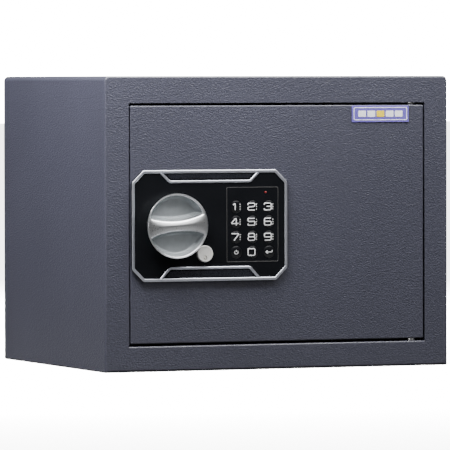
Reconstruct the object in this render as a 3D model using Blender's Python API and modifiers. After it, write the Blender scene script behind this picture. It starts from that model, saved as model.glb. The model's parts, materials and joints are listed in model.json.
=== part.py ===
"""In-room safe: folded steel cabinet, flush right-hinged door, electronic lock with a turning knob.

Metres, +Z up, +X to the right and +Y to the back as seen by someone facing the door.
The origin is the centre of the cabinet's base.
"""

import math

import bmesh
import bpy
from mathutils import Matrix, Vector

# ---------------------------------------------------------------- driving dimensions
WIDTH, DEPTH, HEIGHT = 0.380, 0.300, 0.300
WALL = 0.002
GAP = 0.0003                                  # clearance between pieces that touch
FRONT, BACK = -DEPTH / 2, DEPTH / 2

OPEN_X = 0.164                                # half width of the door opening
OPEN_LOW, OPEN_HIGH = 0.0260, 0.2726
LIP_DEPTH, STRIKE_DEPTH = 0.013, 0.034        # returns of the front frame
ANCHOR_X, ANCHOR_R = 0.100, 0.006
BASE_ANCHOR_Y, BACK_ANCHOR_Z = 0.020, 0.150

DOOR_LEFT, DOOR_RIGHT = -0.1625, 0.1627
DOOR_LOW, DOOR_HIGH = 0.0286, 0.2700
DOOR_THICK = 0.003
DOOR_BACK = FRONT + DOOR_THICK
HINGE_X, HINGE_Y = 0.1502, FRONT + 0.0055
HINGE_PIN_R = 0.003

FASCIA_X, FASCIA_Z = -0.0770, 0.1480          # centre of the lock fascia
FASCIA_W, FASCIA_H = 0.1705, 0.1129
FASCIA_CHAMFER, FASCIA_THICK = 0.0125, 0.003
TRIM_RING, TRIM_LINE, TRIM_THICK = 0.003, 0.0025, 0.0006
TRAPEZOID_OUTER, TRAPEZOID_INNER = 0.0562, 0.0440
UPPER_RISE, LOWER_RISE = 0.0118, 0.0133       # from the fascia's edge to a trapezoid's shelf

KNOB_X, KNOB_Z = -0.1175, 0.1482
KNOB_R, KNOB_HEIGHT = 0.033, 0.018
POCKET_R, POCKET_FLOOR_R, POCKET_FLOOR = 0.0313, 0.0260, 0.008
GRIP_TILT = math.radians(4)                   # the grip bar rises a little to the right
SPINDLE_R, BUSH_R = 0.005, 0.008
CRANK_R, CRANK_PIN_R, CRANK_DISC_R = 0.012, 0.0025, 0.016
CRANK_START = math.radians(45)                # crank pin, to the right of straight up

KEY_X, KEY_PITCH_X = -0.0302, 0.0181          # middle column
KEY_Z, KEY_PITCH_Z = 0.1203, 0.01545          # lowest row
KEY_R, KEY_STROKE = 0.0062, 0.0008
LED_X, LED_Z, LED_R = -0.0156, 0.1812, 0.0010
WINDOW_X, WINDOW_Z = (-0.0575, -0.0029), (0.1115, 0.1855)

CAP_X, CAP_Z, CAP_R = -0.0832, 0.1193, 0.0085
LOCK_R, PLUG_R = 0.0074, 0.0045

BADGE_X, BADGE_Z = (0.0819, 0.1457), (0.2523, 0.2693)

BOLT_R, BOLT_Y = 0.008, FRONT + 0.024
BOLT_TIP_X, BOLT_END_X = -0.159, -0.112
BOLT_SPACING = 0.100
CARRIAGE_X = (-0.132, -0.100)
CARRIAGE_Y = (FRONT + 0.0074, FRONT + 0.0094)
BOLT_TRAVEL = 2 * CRANK_R * math.sin(CRANK_START)
STUD_X, STUD_SPACING = -0.126, 0.064
TAB_X, TAB_Z = (-0.086, -0.084), (0.154, 0.166)

PLUNGER_X, PLUNGER_Y, PLUNGER_Z, PLUNGER_R = -0.0935, FRONT + 0.020, 0.168, 0.003
SOLENOID_Z = (0.182, 0.210)

COVER_X, COVER_Z = (-0.1582, 0.038), (0.072, 0.224)
COVER_BACK, COVER_THICK = FRONT + 0.048, 0.0012
COVER_SCREWS = [(x, z) for x in (-0.130, 0.020) for z in (0.066, 0.230)]
CELL_R, CELL_LENGTH, CELL_PITCH, CELL_Z = 0.0071, 0.049, 0.015, 0.0825
BOARD_X, BOARD_Z = (-0.065, 0.014), (0.150, 0.206)
BOARD_Y = (FRONT + 0.011, FRONT + 0.0126)
RESET_X, RESET_Z = 0.004, 0.176

TOWARDS_FRONT = (math.radians(90), 0, 0)      # local +Z points out of the door
TOWARDS_BACK = (math.radians(-90), 0, 0)
TOWARDS_LEFT = (0, math.radians(-90), 0)
UPWARDS = (0, 0, 0)

for old in list(bpy.data.objects):
    bpy.data.objects.remove(old, do_unlink=True)
parts = bpy.data.collections.new("in_room_safe")
cutters = bpy.data.collections.new("cutters")
for group in (parts, cutters):
    bpy.context.scene.collection.children.link(group)


# ---------------------------------------------------------------- materials
def material(name, colour, metallic, roughness):
    made = bpy.data.materials.new(name)
    made.use_nodes = True
    shader = made.node_tree.nodes["Principled BSDF"]
    shader.inputs["Base Color"].default_value = (*colour, 1)
    shader.inputs["Metallic"].default_value = metallic
    shader.inputs["Roughness"].default_value = roughness
    return made


POWDER_COAT = material("graphite_powder_coat", (0.095, 0.102, 0.138), 0.0, 0.45)
FELT = material("grey_felt", (0.06, 0.06, 0.065), 0.0, 0.95)
ZINC = material("zinc_plated_steel", (0.62, 0.62, 0.60), 1.0, 0.35)
STEEL = material("bright_steel", (0.70, 0.70, 0.71), 1.0, 0.25)
BLACK_GLOSS = material("black_gloss_plastic", (0.006, 0.007, 0.009), 0.0, 0.10)
BLACK_MATT = material("black_matt_plastic", (0.02, 0.02, 0.02), 0.0, 0.55)
SILVER_TRIM = material("silver_trim", (0.50, 0.51, 0.53), 0.8, 0.30)
SATIN_CHROME = material("satin_chrome", (0.75, 0.76, 0.77), 1.0, 0.30)
BRASS = material("brass", (0.80, 0.60, 0.30), 1.0, 0.30)
BOARD_GREEN = material("circuit_board", (0.02, 0.12, 0.05), 0.0, 0.40)
RED_LENS = material("red_lens", (0.25, 0.01, 0.01), 0.0, 0.20)
RED_PLASTIC = material("red_plastic", (0.55, 0.03, 0.03), 0.0, 0.35)
CREAM_PLASTIC = material("cream_plastic", (0.72, 0.72, 0.69), 0.0, 0.35)
BADGE_BLUE = material("badge_blue", (0.20, 0.18, 0.42), 0.2, 0.30)
CELL_JACKET = material("cell_jacket", (0.03, 0.10, 0.25), 0.3, 0.35)


# ---------------------------------------------------------------- shape helpers
def named(name, mesh, look, place=(0, 0, 0), turn=UPWARDS):
    """Adds a mesh as one named part."""
    made = bpy.data.objects.new(name, mesh)
    made.location, made.rotation_euler = place, turn
    if not mesh.materials:
        mesh.materials.append(look)
    parts.objects.link(made)
    return made


def as_cutter(made):
    """Moves an object to the cutters, which are only tools for the Booleans."""
    parts.objects.unlink(made)
    cutters.objects.link(made)
    made.hide_render, made.display_type = True, "WIRE"
    return made


def box_mesh(name, low, high):
    low, high = Vector(low), Vector(high)
    shape = bmesh.new()
    place = Matrix.Translation((low + high) / 2) @ Matrix.Diagonal((*(high - low), 1))
    bmesh.ops.create_cube(shape, size=1, matrix=place)
    mesh = bpy.data.meshes.new(name)
    shape.to_mesh(mesh)
    shape.free()
    return mesh


def box(name, low, high, look, edge=0.0):
    """A box between two corners, with its edges rounded by edge."""
    made = named(name, box_mesh(name, low, high), look)
    if edge:
        bevel = made.modifiers.new("edges", "BEVEL")
        bevel.width, bevel.segments, bevel.limit_method = edge, 2, "ANGLE"
    return made


def box_cutter(low, high):
    return as_cutter(box("cut_box", low, high, ZINC))


def rod(name, place, turn, radius, start, end, look, sides=24, end_radius=None):
    """A cylinder or cone from start to end along its local Z."""
    shape = bmesh.new()
    bmesh.ops.create_cone(
        shape, cap_ends=True, segments=sides, radius1=radius, radius2=end_radius or radius,
        depth=end - start, matrix=Matrix.Translation((0, 0, (start + end) / 2)),
    )
    mesh = bpy.data.meshes.new(name)
    shape.to_mesh(mesh)
    shape.free()
    return named(name, mesh, look, place, turn)


def hole(place, turn, radius, start, end, sides=24, end_radius=None):
    return as_cutter(rod("cut_rod", place, turn, radius, start, end, ZINC, sides, end_radius))


def change(made, others, operation="DIFFERENCE"):
    """Cuts the others out of a part, or joins them to it."""
    for other in others:
        step = made.modifiers.new(operation.lower(), "BOOLEAN")
        step.operation, step.object, step.solver = operation, other, "EXACT"
    return made


def frozen(made):
    """Replaces a curve or a modified object with its evaluated, welded mesh."""
    bpy.context.view_layer.update()
    evaluated = made.evaluated_get(bpy.context.evaluated_depsgraph_get())
    mesh = bpy.data.meshes.new_from_object(evaluated)
    shape = bmesh.new()
    shape.from_mesh(mesh)
    bmesh.ops.remove_doubles(shape, verts=shape.verts, dist=1e-6)
    bmesh.ops.recalc_face_normals(shape, faces=shape.faces)
    shape.to_mesh(mesh)
    shape.free()
    mesh.shade_smooth()
    mesh.set_sharp_from_angle(angle=math.radians(35))
    name, place, look = made.name, made.matrix_world.copy(), made.active_material
    bpy.data.objects.remove(made, do_unlink=True)
    made = named(name, mesh, look)
    made.matrix_world = place
    return made


def turned(name, profile, place, turn, look, ring=False, steps=24):
    """A lathe shape: (radius, height) points run from the top down the outer side."""
    mesh = bpy.data.meshes.new(name)
    count = len(profile)
    edges = [(i, (i + 1) % count) for i in range(count if ring else count - 1)]
    mesh.from_pydata([(radius, 0, height) for radius, height in profile], edges, [])
    made = named(name, mesh, look, place, turn)
    screw = made.modifiers.new("turn", "SCREW")
    screw.steps = screw.render_steps = steps
    screw.use_merge_vertices, screw.merge_threshold = True, 0.00001
    return frozen(made)


def circle(x, z, radius, sides=20):
    """Points round a circle in the door's plane."""
    angles = [2 * math.pi * i / sides for i in range(sides)]
    return [(x + radius * math.cos(a), z + radius * math.sin(a)) for a in angles]


def rounded(corners, radius, steps=4):
    """Rounds each corner of a polygon with an arc."""
    points = []
    for i, corner in enumerate(corners):
        here = Vector(corner)
        before = (Vector(corners[i - 1]) - here).normalized()
        after = (Vector(corners[(i + 1) % len(corners)]) - here).normalized()
        half = before.angle(after) / 2
        centre = here + (before + after).normalized() * radius / math.sin(half)
        start = here + before * radius / math.tan(half) - centre
        end = here + after * radius / math.tan(half) - centre
        for k in range(steps + 1):
            mixed = start.lerp(end, k / steps).normalized() * radius
            points.append(tuple(centre + mixed))
    return points


def panel(name, loops, front, back, look):
    """A flat outline with holes, as wide in Y as front to back."""
    curve = bpy.data.curves.new(name, "CURVE")
    curve.dimensions, curve.fill_mode = "2D", "BOTH"
    curve.extrude = (back - front) / 2
    for loop in loops:
        spline = curve.splines.new("POLY")
        spline.points.add(len(loop) - 1)
        spline.use_cyclic_u = True
        for point, (x, z) in zip(spline.points, loop):
            point.co = (x, z, 0, 1)
    made = bpy.data.objects.new(name, curve)
    made.location, made.rotation_euler = (0, (front + back) / 2, 0), TOWARDS_FRONT
    curve.materials.append(look)
    parts.objects.link(made)
    return frozen(made)


def tube(name, points, radius, look):
    """A round wire along a smooth line of points."""
    curve = bpy.data.curves.new(name, "CURVE")
    curve.dimensions, curve.bevel_depth, curve.bevel_resolution = "3D", radius, 2
    curve.use_fill_caps = True
    spline = curve.splines.new("POLY")
    spline.points.add(len(points) - 1)
    for target, point in zip(spline.points, points):
        target.co = (*point, 1)
    made = bpy.data.objects.new(name, curve)
    curve.materials.append(look)
    parts.objects.link(made)
    return frozen(made)


def smooth_route(route, between=4):
    """Catmull-Rom points through a short route."""
    points = [Vector(p) for p in route]
    padded = [2 * points[0] - points[1], *points, 2 * points[-1] - points[-2]]
    made = []
    for i in range(1, len(padded) - 2):
        a, b, c, d = padded[i - 1:i + 3]
        for k in range(between):
            t = k / between
            made.append(0.5 * (2 * b + (c - a) * t + (2 * a - 5 * b + 4 * c - d) * t * t
                               + (3 * b - a - 3 * c + d) * t * t * t))
    return made + [points[-1]]


def carried_by(name, place, members):
    """Parents the members to an empty that stands on their joint's axis."""
    empty = bpy.data.objects.new(name, None)
    empty.location = place
    parts.objects.link(empty)
    for member in members:
        member.parent = empty
        member.matrix_parent_inverse = Matrix.Translation(place).inverted()
    return empty


# ---------------------------------------------------------------- cabinet
def cabinet_wrap_mesh():
    """The wrap's outer block: soft upper corners, tight lower ones, a folded front edge."""
    top_radius, bottom_radius, fold_radius = 0.005, 0.0015, 0.0022
    shape = bmesh.new()
    place = Matrix.Translation((0, 0, HEIGHT / 2)) @ Matrix.Diagonal((WIDTH, DEPTH, HEIGHT, 1))
    bmesh.ops.create_cube(shape, size=1, matrix=place)
    for high, radius, steps in ((True, top_radius, 4), (False, bottom_radius, 2)):
        corners = [
            e for e in shape.edges
            if abs(e.verts[0].co.y - e.verts[1].co.y) > DEPTH / 2
            and (e.verts[0].co.z > HEIGHT / 2) == high
        ]
        bmesh.ops.bevel(shape, geom=corners, offset=radius, segments=steps,
                        affect="EDGES", profile=0.5)
    face = min(shape.faces, key=lambda f: f.calc_center_median().y)
    bmesh.ops.bevel(shape, geom=list(face.edges), offset=fold_radius, segments=3,
                    affect="EDGES", profile=0.5)
    mesh = bpy.data.meshes.new("cabinet_shell")
    shape.to_mesh(mesh)
    shape.free()
    return mesh


def cabinet_shell():
    made = named("cabinet_shell", cabinet_wrap_mesh(), POWDER_COAT)
    inside_x, frame_x = WIDTH / 2 - WALL, OPEN_X + WALL
    frame_low, frame_high = OPEN_LOW - WALL, OPEN_HIGH + WALL
    hollow = box_cutter((-inside_x, FRONT + WALL, WALL),
                        (inside_x, BACK + WALL, HEIGHT - WALL))
    lips = box_cutter((-frame_x, FRONT, frame_low), (frame_x, FRONT + LIP_DEPTH, frame_high))
    strike = box_cutter((-frame_x, FRONT, frame_low),
                        (-OPEN_X + WALL, FRONT + STRIKE_DEPTH, frame_high))
    change(hollow, [lips, strike])
    opening = box_cutter((-OPEN_X, FRONT - WALL, OPEN_LOW),
                         (OPEN_X, FRONT + STRIKE_DEPTH + WALL, OPEN_HIGH))
    cuts = [hollow, opening]
    for z in (KNOB_Z - BOLT_SPACING / 2, KNOB_Z + BOLT_SPACING / 2):
        cuts.append(hole((-OPEN_X - WALL / 2, BOLT_Y, z), TOWARDS_LEFT,
                         BOLT_R + 0.002, -0.004, 0.004))
    for z in (OPEN_LOW - WALL / 2, OPEN_HIGH + WALL / 2):
        cuts.append(hole((HINGE_X, HINGE_Y, z), UPWARDS, HINGE_PIN_R + 0.0004, -0.004, 0.004))
    for x in (-ANCHOR_X, ANCHOR_X):
        cuts.append(hole((x, BASE_ANCHOR_Y, 0), UPWARDS, ANCHOR_R, -WALL, 2 * WALL))
    return change(made, cuts)


def back_panel():
    side = WIDTH / 2 - WALL - GAP
    made = box("back_panel", (-side, BACK - WALL, WALL + GAP),
               (side, BACK, HEIGHT - WALL - GAP), POWDER_COAT)
    corners = box_cutter((-side - WALL, BACK - 2 * WALL, 0), (side + WALL, BACK + WALL, HEIGHT))
    keep = box_cutter((-side, BACK - 3 * WALL, WALL + GAP),
                      (side, BACK + 2 * WALL, HEIGHT - WALL - GAP))
    round_off = keep.modifiers.new("corners", "BEVEL")
    round_off.width, round_off.segments, round_off.limit_method = 0.0045, 3, "ANGLE"
    change(corners, [keep])
    anchors = [hole((x, BACK, BACK_ANCHOR_Z), TOWARDS_BACK, ANCHOR_R, -2 * WALL, WALL)
               for x in (-ANCHOR_X, ANCHOR_X)]
    return change(made, [corners, *anchors])


def floor_mat():
    side = WIDTH / 2 - WALL - 0.001
    made = box("floor_mat", (-side, FRONT + LIP_DEPTH + 0.001, WALL + GAP),
               (side, BACK - WALL - 0.0005, 2 * WALL + GAP), FELT)
    holes = [hole((x, BASE_ANCHOR_Y, 0), UPWARDS, ANCHOR_R + 0.001, 0, 4 * WALL)
             for x in (-ANCHOR_X, ANCHOR_X)]
    return change(made, holes)


# ---------------------------------------------------------------- door and hinge
def hinge_set(end, door_edge, frame_edge):
    """Pin, washer and welded boss at one end of the door; all are listed from the gap out."""
    up = 1 if frame_edge > door_edge else -1

    def heights(*distances):
        return [up * d for d in distances]

    tip, collar_top, collar_low, root = heights(0.0110, 0.0012, GAP, -0.0220)
    wide = HINGE_PIN_R + 0.0013
    profile = [(0, tip), (HINGE_PIN_R, tip), (HINGE_PIN_R, collar_top), (wide, collar_top),
               (wide, collar_low), (HINGE_PIN_R, collar_low), (HINGE_PIN_R, root), (0, root)]
    place = (HINGE_X, HINGE_Y, door_edge)
    pin = turned("hinge_pin_" + end, profile[::up], place, UPWARDS, STEEL)
    low, high = sorted(heights(0.0015, 0.0023))
    washer = turned("hinge_washer_" + end,
                    [(0.0050, high), (0.0050, low), (0.0032, low), (0.0032, high)],
                    place, UPWARDS, STEEL, ring=True)
    low, high = sorted([door_edge - up * 0.024, door_edge])
    boss = box("hinge_boss_" + end, (HINGE_X - 0.0065, DOOR_BACK + GAP, low),
               (HINGE_X + 0.0065, DOOR_BACK + 0.0085, high), ZINC, edge=0.0006)
    groove = hole((HINGE_X, HINGE_Y, 0), UPWARDS, HINGE_PIN_R + GAP, low - WALL, high + WALL)
    change(boss, [groove])
    return [pin, washer, boss], groove


def door_plate(grooves):
    made = box("door_plate", (DOOR_LEFT, FRONT, DOOR_LOW), (DOOR_RIGHT, DOOR_BACK, DOOR_HIGH),
               POWDER_COAT, edge=0.0007)
    posts = [as_cutter(rod("board_post", (x, DOOR_BACK, z), TOWARDS_BACK, 0.0025,
                           -0.0005, BOARD_Y[0] - DOOR_BACK - GAP, ZINC, 16))
             for x in (BOARD_X[0] + 0.004, BOARD_X[1] - 0.004)
             for z in (BOARD_Z[0] + 0.004, BOARD_Z[1] - 0.004)]
    change(made, posts, "UNION")
    through = (-DOOR_THICK - WALL, WALL)
    cuts = [
        hole((KNOB_X, FRONT, KNOB_Z), TOWARDS_FRONT, BUSH_R + 0.0004, *through),
        hole((CAP_X, FRONT, CAP_Z), TOWARDS_FRONT, LOCK_R + 0.0004, *through),
        box_cutter((WINDOW_X[0], FRONT - WALL, WINDOW_Z[0]),
                   (WINDOW_X[1], DOOR_BACK + WALL, WINDOW_Z[1])),
        *grooves,
    ]
    cuts += [hole((x, DOOR_BACK, z), TOWARDS_BACK, 0.002, -0.002, 0.001, 16)
             for x, z in COVER_SCREWS]
    return change(made, cuts)


def badge():
    return box("badge", (BADGE_X[0], FRONT - 0.0011, BADGE_Z[0]),
               (BADGE_X[1], FRONT - GAP, BADGE_Z[1]), BADGE_BLUE, edge=0.0003)


# ---------------------------------------------------------------- fascia and keys
def chamfered_outline(inset):
    """The fascia's eight-sided outline, moved in by inset, with rounded vertices."""
    half_w, half_h = FASCIA_W / 2 - inset, FASCIA_H / 2 - inset
    cut = FASCIA_CHAMFER - inset * (2 - math.sqrt(2))
    corners = [(half_w, half_h - cut), (half_w - cut, half_h), (cut - half_w, half_h),
               (-half_w, half_h - cut), (-half_w, cut - half_h), (cut - half_w, -half_h),
               (half_w - cut, -half_h), (half_w, cut - half_h)]
    points = rounded(corners, 0.004 - inset / 2, 3)
    return [(FASCIA_X + x, FASCIA_Z + z) for x, z in points]


def trapezoid_side(rise, offset, limit):
    """Half width where a trapezoid line, moved out by offset, meets a height limit."""
    slope = (TRAPEZOID_OUTER - TRAPEZOID_INNER) / rise
    shift = offset * math.hypot(1, slope)
    return TRAPEZOID_OUTER + shift - slope * (FASCIA_H / 2 - limit)


def trim_loops():
    """The silver trim: an outer ring, one large window and two trapezoid windows."""
    far = FASCIA_H / 2 - TRIM_RING
    half_line = TRIM_LINE / 2
    inner = chamfered_outline(TRIM_RING)
    ends = ((1, UPPER_RISE), (-1, LOWER_RISE))
    window = []
    for upper, rise in ends:
        near = FASCIA_H / 2 - rise - half_line
        low_w, high_w = [trapezoid_side(rise, half_line, limit) for limit in (near, far)]
        side = [(x, z) for x, z in inner if (z - FASCIA_Z) * upper > 0]
        dip = [(high_w, far), (low_w, near), (-low_w, near), (-high_w, far)]
        dip = [(FASCIA_X + upper * x, FASCIA_Z + upper * z) for x, z in dip]
        right = [p for p in side if (p[0] - FASCIA_X) * upper > 0]
        left = [p for p in side if (p[0] - FASCIA_X) * upper < 0]
        window += right + dip + left
    loops = [chamfered_outline(0), window]
    for upper, rise in ends:
        near = FASCIA_H / 2 - rise + half_line
        low_w, high_w = [trapezoid_side(rise, -half_line, limit) for limit in (near, far)]
        loops.append([(FASCIA_X + x, FASCIA_Z + upper * z) for x, z in
                      ((high_w, far), (low_w, near), (-low_w, near), (-high_w, far))])
    return loops


def key_places():
    """Each key's name with its centre, from the top row down."""
    rows = (("1", "2", "3"), ("4", "5", "6"), ("7", "8", "9"), ("on", "0", "enter"))
    for row, names in enumerate(rows):
        for column, name in enumerate(names):
            yield ("key_" + name, KEY_X + (column - 1) * KEY_PITCH_X,
                   KEY_Z + (len(rows) - 1 - row) * KEY_PITCH_Z)


def fascia():
    holes = [circle(x, z, KEY_R + GAP) for name, x, z in key_places()]
    holes += [circle(KNOB_X, KNOB_Z, BUSH_R + 0.0004), circle(CAP_X, CAP_Z, LOCK_R + 0.0004),
              circle(LED_X, LED_Z, LED_R + 0.0002, 12)]
    return panel("fascia", [chamfered_outline(0), *holes],
                 FRONT - FASCIA_THICK - GAP, FRONT - GAP, BLACK_GLOSS)


def fascia_trim():
    back = FRONT - FASCIA_THICK - 2 * GAP
    return panel("fascia_trim", trim_loops(), back - TRIM_THICK, back, SILVER_TRIM)


def keys():
    profile = [(0, 0.0039), (0.0050, 0.0039), (KEY_R, 0.0034), (KEY_R, 0.0),
               (0.0072, 0.0), (0.0072, -0.0008), (0, -0.0008)]
    places = list(key_places())
    first = turned(places[0][0], profile, (places[0][1], FRONT, places[0][2]),
                   TOWARDS_FRONT, BLACK_GLOSS, steps=16)
    rest = [named(name, first.data, BLACK_GLOSS, (x, FRONT, z), TOWARDS_FRONT)
            for name, x, z in places[1:]]
    return [first, *rest]


def keypad_board():
    return box("keypad_board", (WINDOW_X[0] + 0.0005, FRONT + 0.0020, WINDOW_Z[0] + 0.0005),
               (WINDOW_X[1] - 0.0005, FRONT + 0.0036, WINDOW_Z[1] - 0.0005), BOARD_GREEN)


def status_led():
    profile = [(0, 0.0037), (0.0007, 0.0036), (LED_R, 0.0032), (LED_R, -0.0017), (0, -0.0017)]
    return turned("status_led", profile, (LED_X, FRONT, LED_Z), TOWARDS_FRONT, RED_LENS, steps=12)


# ---------------------------------------------------------------- knob and bolt work
def knob():
    back = FASCIA_THICK + 2 * GAP
    profile = [(0, KNOB_HEIGHT), (KNOB_R - 0.0010, KNOB_HEIGHT), (KNOB_R, KNOB_HEIGHT - 0.0010),
               (KNOB_R, 0.0158), (0.0292, 0.0075), (0.0272, back), (0, back)]
    place = (KNOB_X, FRONT, KNOB_Z)
    made = turned("knob", profile, place, TOWARDS_FRONT, SATIN_CHROME, steps=48)
    upper = [(POCKET_R * t, 0.0040 + 0.0055 * t * t) for t in (-1.1, -0.7, -0.3, 0, 0.3, 0.7, 1.1)]
    outline = []
    for x, z in upper + [(-x, -z) for x, z in upper]:
        outline.append((KNOB_X + x * math.cos(GRIP_TILT) - z * math.sin(GRIP_TILT),
                        KNOB_Z + x * math.sin(GRIP_TILT) + z * math.cos(GRIP_TILT)))
    bar = panel("grip_bar", [outline], FRONT - 2 * KNOB_HEIGHT, FRONT, ZINC)
    pockets = hole(place, TOWARDS_FRONT, POCKET_FLOOR_R, POCKET_FLOOR,
                   KNOB_HEIGHT + 0.0004, 36, POCKET_R)
    change(pockets, [as_cutter(bar)])
    bores = [hole(place, TOWARDS_FRONT, SPINDLE_R + GAP, 0, 0.0056),
             hole(place, TOWARDS_FRONT, 0.0028, 0.0040, 0.0125, 16)]
    return change(made, [pockets, *bores])


def knob_spindle():
    profile = [(0, 0.0120), (0.0025, 0.0120), (0.0025, 0.0053), (SPINDLE_R, 0.0053),
               (SPINDLE_R, -0.0043), (0, -0.0043)]
    return turned("knob_spindle", profile, (KNOB_X, FRONT, KNOB_Z), TOWARDS_FRONT, STEEL)


def knob_bush():
    inner, back = SPINDLE_R + GAP, -DOOR_THICK - GAP
    profile = [(BUSH_R, 0.0032), (BUSH_R, back), (0.0110, back), (0.0110, back - 0.0010),
               (inner, back - 0.0010), (inner, 0.0032)]
    return turned("knob_bush", profile, (KNOB_X, FRONT, KNOB_Z), TOWARDS_FRONT, BRASS, ring=True)


def crank_plate():
    place = (KNOB_X, FRONT, KNOB_Z)
    made = rod("crank_plate", place, TOWARDS_FRONT, CRANK_DISC_R, -0.0071, -0.0046, ZINC, 32)
    pin = (KNOB_X + CRANK_R * math.sin(CRANK_START), FRONT,
           KNOB_Z + CRANK_R * math.cos(CRANK_START))
    stub = as_cutter(rod("crank_stub", pin, TOWARDS_FRONT, CRANK_PIN_R,
                         -0.0105, -0.0060, ZINC, 16))
    return change(made, [stub], "UNION")


def bolt_heights():
    return {"upper": KNOB_Z + BOLT_SPACING / 2, "lower": KNOB_Z - BOLT_SPACING / 2}


def bolts():
    profile = [(0, BOLT_END_X - BOLT_TIP_X), (BOLT_R - 0.0015, BOLT_END_X - BOLT_TIP_X),
               (BOLT_R, BOLT_END_X - BOLT_TIP_X - 0.0015), (BOLT_R, GAP),
               (0.004, GAP), (0.004, -0.004), (0, -0.004)]
    return [turned("bolt_" + end, profile, (BOLT_END_X, BOLT_Y, z), TOWARDS_LEFT, STEEL)
            for end, z in bolt_heights().items()]


def slot_cutter(x_range, z_range):
    return box_cutter((x_range[0], CARRIAGE_Y[0] - WALL, z_range[0]),
                      (x_range[1], CARRIAGE_Y[1] + WALL, z_range[1]))


def bolt_carriage():
    """Sliding plate: a slot for the crank pin, two for the studs, lugs for the bolts and a tab."""
    half = BOLT_SPACING / 2 + 0.012
    made = box("bolt_carriage", (CARRIAGE_X[0], CARRIAGE_Y[0], KNOB_Z - half),
               (CARRIAGE_X[1], CARRIAGE_Y[1], KNOB_Z + half), ZINC)
    joined = [box_cutter((BOLT_END_X, CARRIAGE_Y[0] + 0.0005, z - 0.010),
                         (BOLT_END_X + WALL, BOLT_Y + BOLT_R, z + 0.010))
              for z in bolt_heights().values()]
    joined.append(box_cutter((CARRIAGE_X[1] - WALL, CARRIAGE_Y[0], TAB_Z[0]),
                             (TAB_X[1], CARRIAGE_Y[1], TAB_Z[1])))
    joined.append(box_cutter((TAB_X[0], CARRIAGE_Y[0] + 0.0005, TAB_Z[0]),
                             (TAB_X[1], PLUNGER_Y + 0.006, TAB_Z[1])))
    change(made, joined, "UNION")
    pin_x = KNOB_X + CRANK_R * math.sin(CRANK_START)
    pin_low, pin_high = KNOB_Z + CRANK_R * math.cos(CRANK_START), KNOB_Z + CRANK_R
    room = CRANK_PIN_R + 0.0006
    cuts = [slot_cutter((pin_x - room, pin_x + room), (pin_low - room, pin_high + room))]
    for z in (KNOB_Z - STUD_SPACING / 2, KNOB_Z + STUD_SPACING / 2):
        cuts.append(slot_cutter((STUD_X - 0.0034, STUD_X + BOLT_TRAVEL + 0.0034),
                                (z - 0.0029, z + 0.0029)))
    for z in bolt_heights().values():
        cuts.append(hole((BOLT_END_X, BOLT_Y, z), TOWARDS_LEFT, 0.0043, -0.003, 0.001))
    return change(made, cuts)


def guide_studs():
    profile = [(0, -0.0033), (0.0040, -0.0033), (0.0040, -0.0071), (0.0025, -0.0071),
               (0.0025, -0.0097), (0.0050, -0.0097), (0.0050, -0.0117), (0, -0.0117)]
    return [turned("guide_stud_" + end, profile, (STUD_X, FRONT, KNOB_Z + side * STUD_SPACING / 2),
                   TOWARDS_FRONT, STEEL, steps=16)
            for end, side in (("upper", 1), ("lower", -1))]


def bolt_guide():
    """Folded strip on the door's back whose holes carry the outer ends of the bolts."""
    left, foot_end, half = -0.1555, -0.140, BOLT_SPACING / 2 + 0.014
    made = box("bolt_guide", (left, DOOR_BACK + GAP, KNOB_Z - half),
               (left + WALL, BOLT_Y + 0.014, KNOB_Z + half), ZINC)
    foot = box_cutter((left, DOOR_BACK + GAP, KNOB_Z - half),
                      (foot_end, DOOR_BACK + GAP + WALL, KNOB_Z + half))
    change(made, [foot], "UNION")
    return change(made, [hole((left, BOLT_Y, z), TOWARDS_LEFT, BOLT_R + GAP, -0.005, 0.003)
                         for z in bolt_heights().values()])


# ---------------------------------------------------------------- solenoid
def solenoid_body():
    made = box("solenoid_body", (PLUNGER_X - 0.0115, PLUNGER_Y - 0.010, SOLENOID_Z[0]),
               (PLUNGER_X + 0.0115, PLUNGER_Y + 0.010, SOLENOID_Z[1]), ZINC)
    foot = box_cutter((PLUNGER_X - 0.0045, DOOR_BACK + GAP, SOLENOID_Z[0] + 0.002),
                      (PLUNGER_X + 0.0115, PLUNGER_Y - 0.0095, SOLENOID_Z[1] - 0.002))
    change(made, [foot], "UNION")
    bore = hole((PLUNGER_X, PLUNGER_Y, 0), UPWARDS, PLUNGER_R + 0.0004,
                SOLENOID_Z[0] - WALL, SOLENOID_Z[1] - 0.006, 20)
    return change(made, [bore])


def solenoid_plunger():
    profile = [(0, 0.030), (PLUNGER_R, 0.030), (PLUNGER_R, 0.0055), (0.005, 0.0055),
               (0.005, 0.004), (PLUNGER_R, 0.004), (PLUNGER_R, 0), (0, 0)]
    return turned("solenoid_plunger", profile, (PLUNGER_X, PLUNGER_Y, PLUNGER_Z),
                  UPWARDS, STEEL, steps=16)


def solenoid_spring():
    wire, radius, turns, per_turn = 0.0004, 0.0042, 3, 12
    low = PLUNGER_Z + 0.0055 + GAP + wire
    high = SOLENOID_Z[0] - GAP - wire
    points = []
    for i in range(turns * per_turn + 1):
        angle, share = 2 * math.pi * i / per_turn, i / (turns * per_turn)
        points.append((PLUNGER_X + radius * math.cos(angle), PLUNGER_Y + radius * math.sin(angle),
                       low + (high - low) * share))
    return tube("solenoid_spring", points, wire, STEEL)


# ---------------------------------------------------------------- emergency key lock
def emergency_cap():
    low, high = FASCIA_THICK + 2 * GAP, FASCIA_THICK + 2 * GAP + 0.0026
    profile = [(0, high), (CAP_R - 0.0009, high), (CAP_R, high - 0.0009), (CAP_R, low), (0, low)]
    made = turned("emergency_cap", profile, (CAP_X, FRONT, CAP_Z), TOWARDS_FRONT, CREAM_PLASTIC)
    notch = hole((CAP_X, FRONT, CAP_Z - 0.0045), TOWARDS_FRONT, 0.0021, high - 0.0012, high + 0.001)
    return change(made, [notch])


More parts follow.
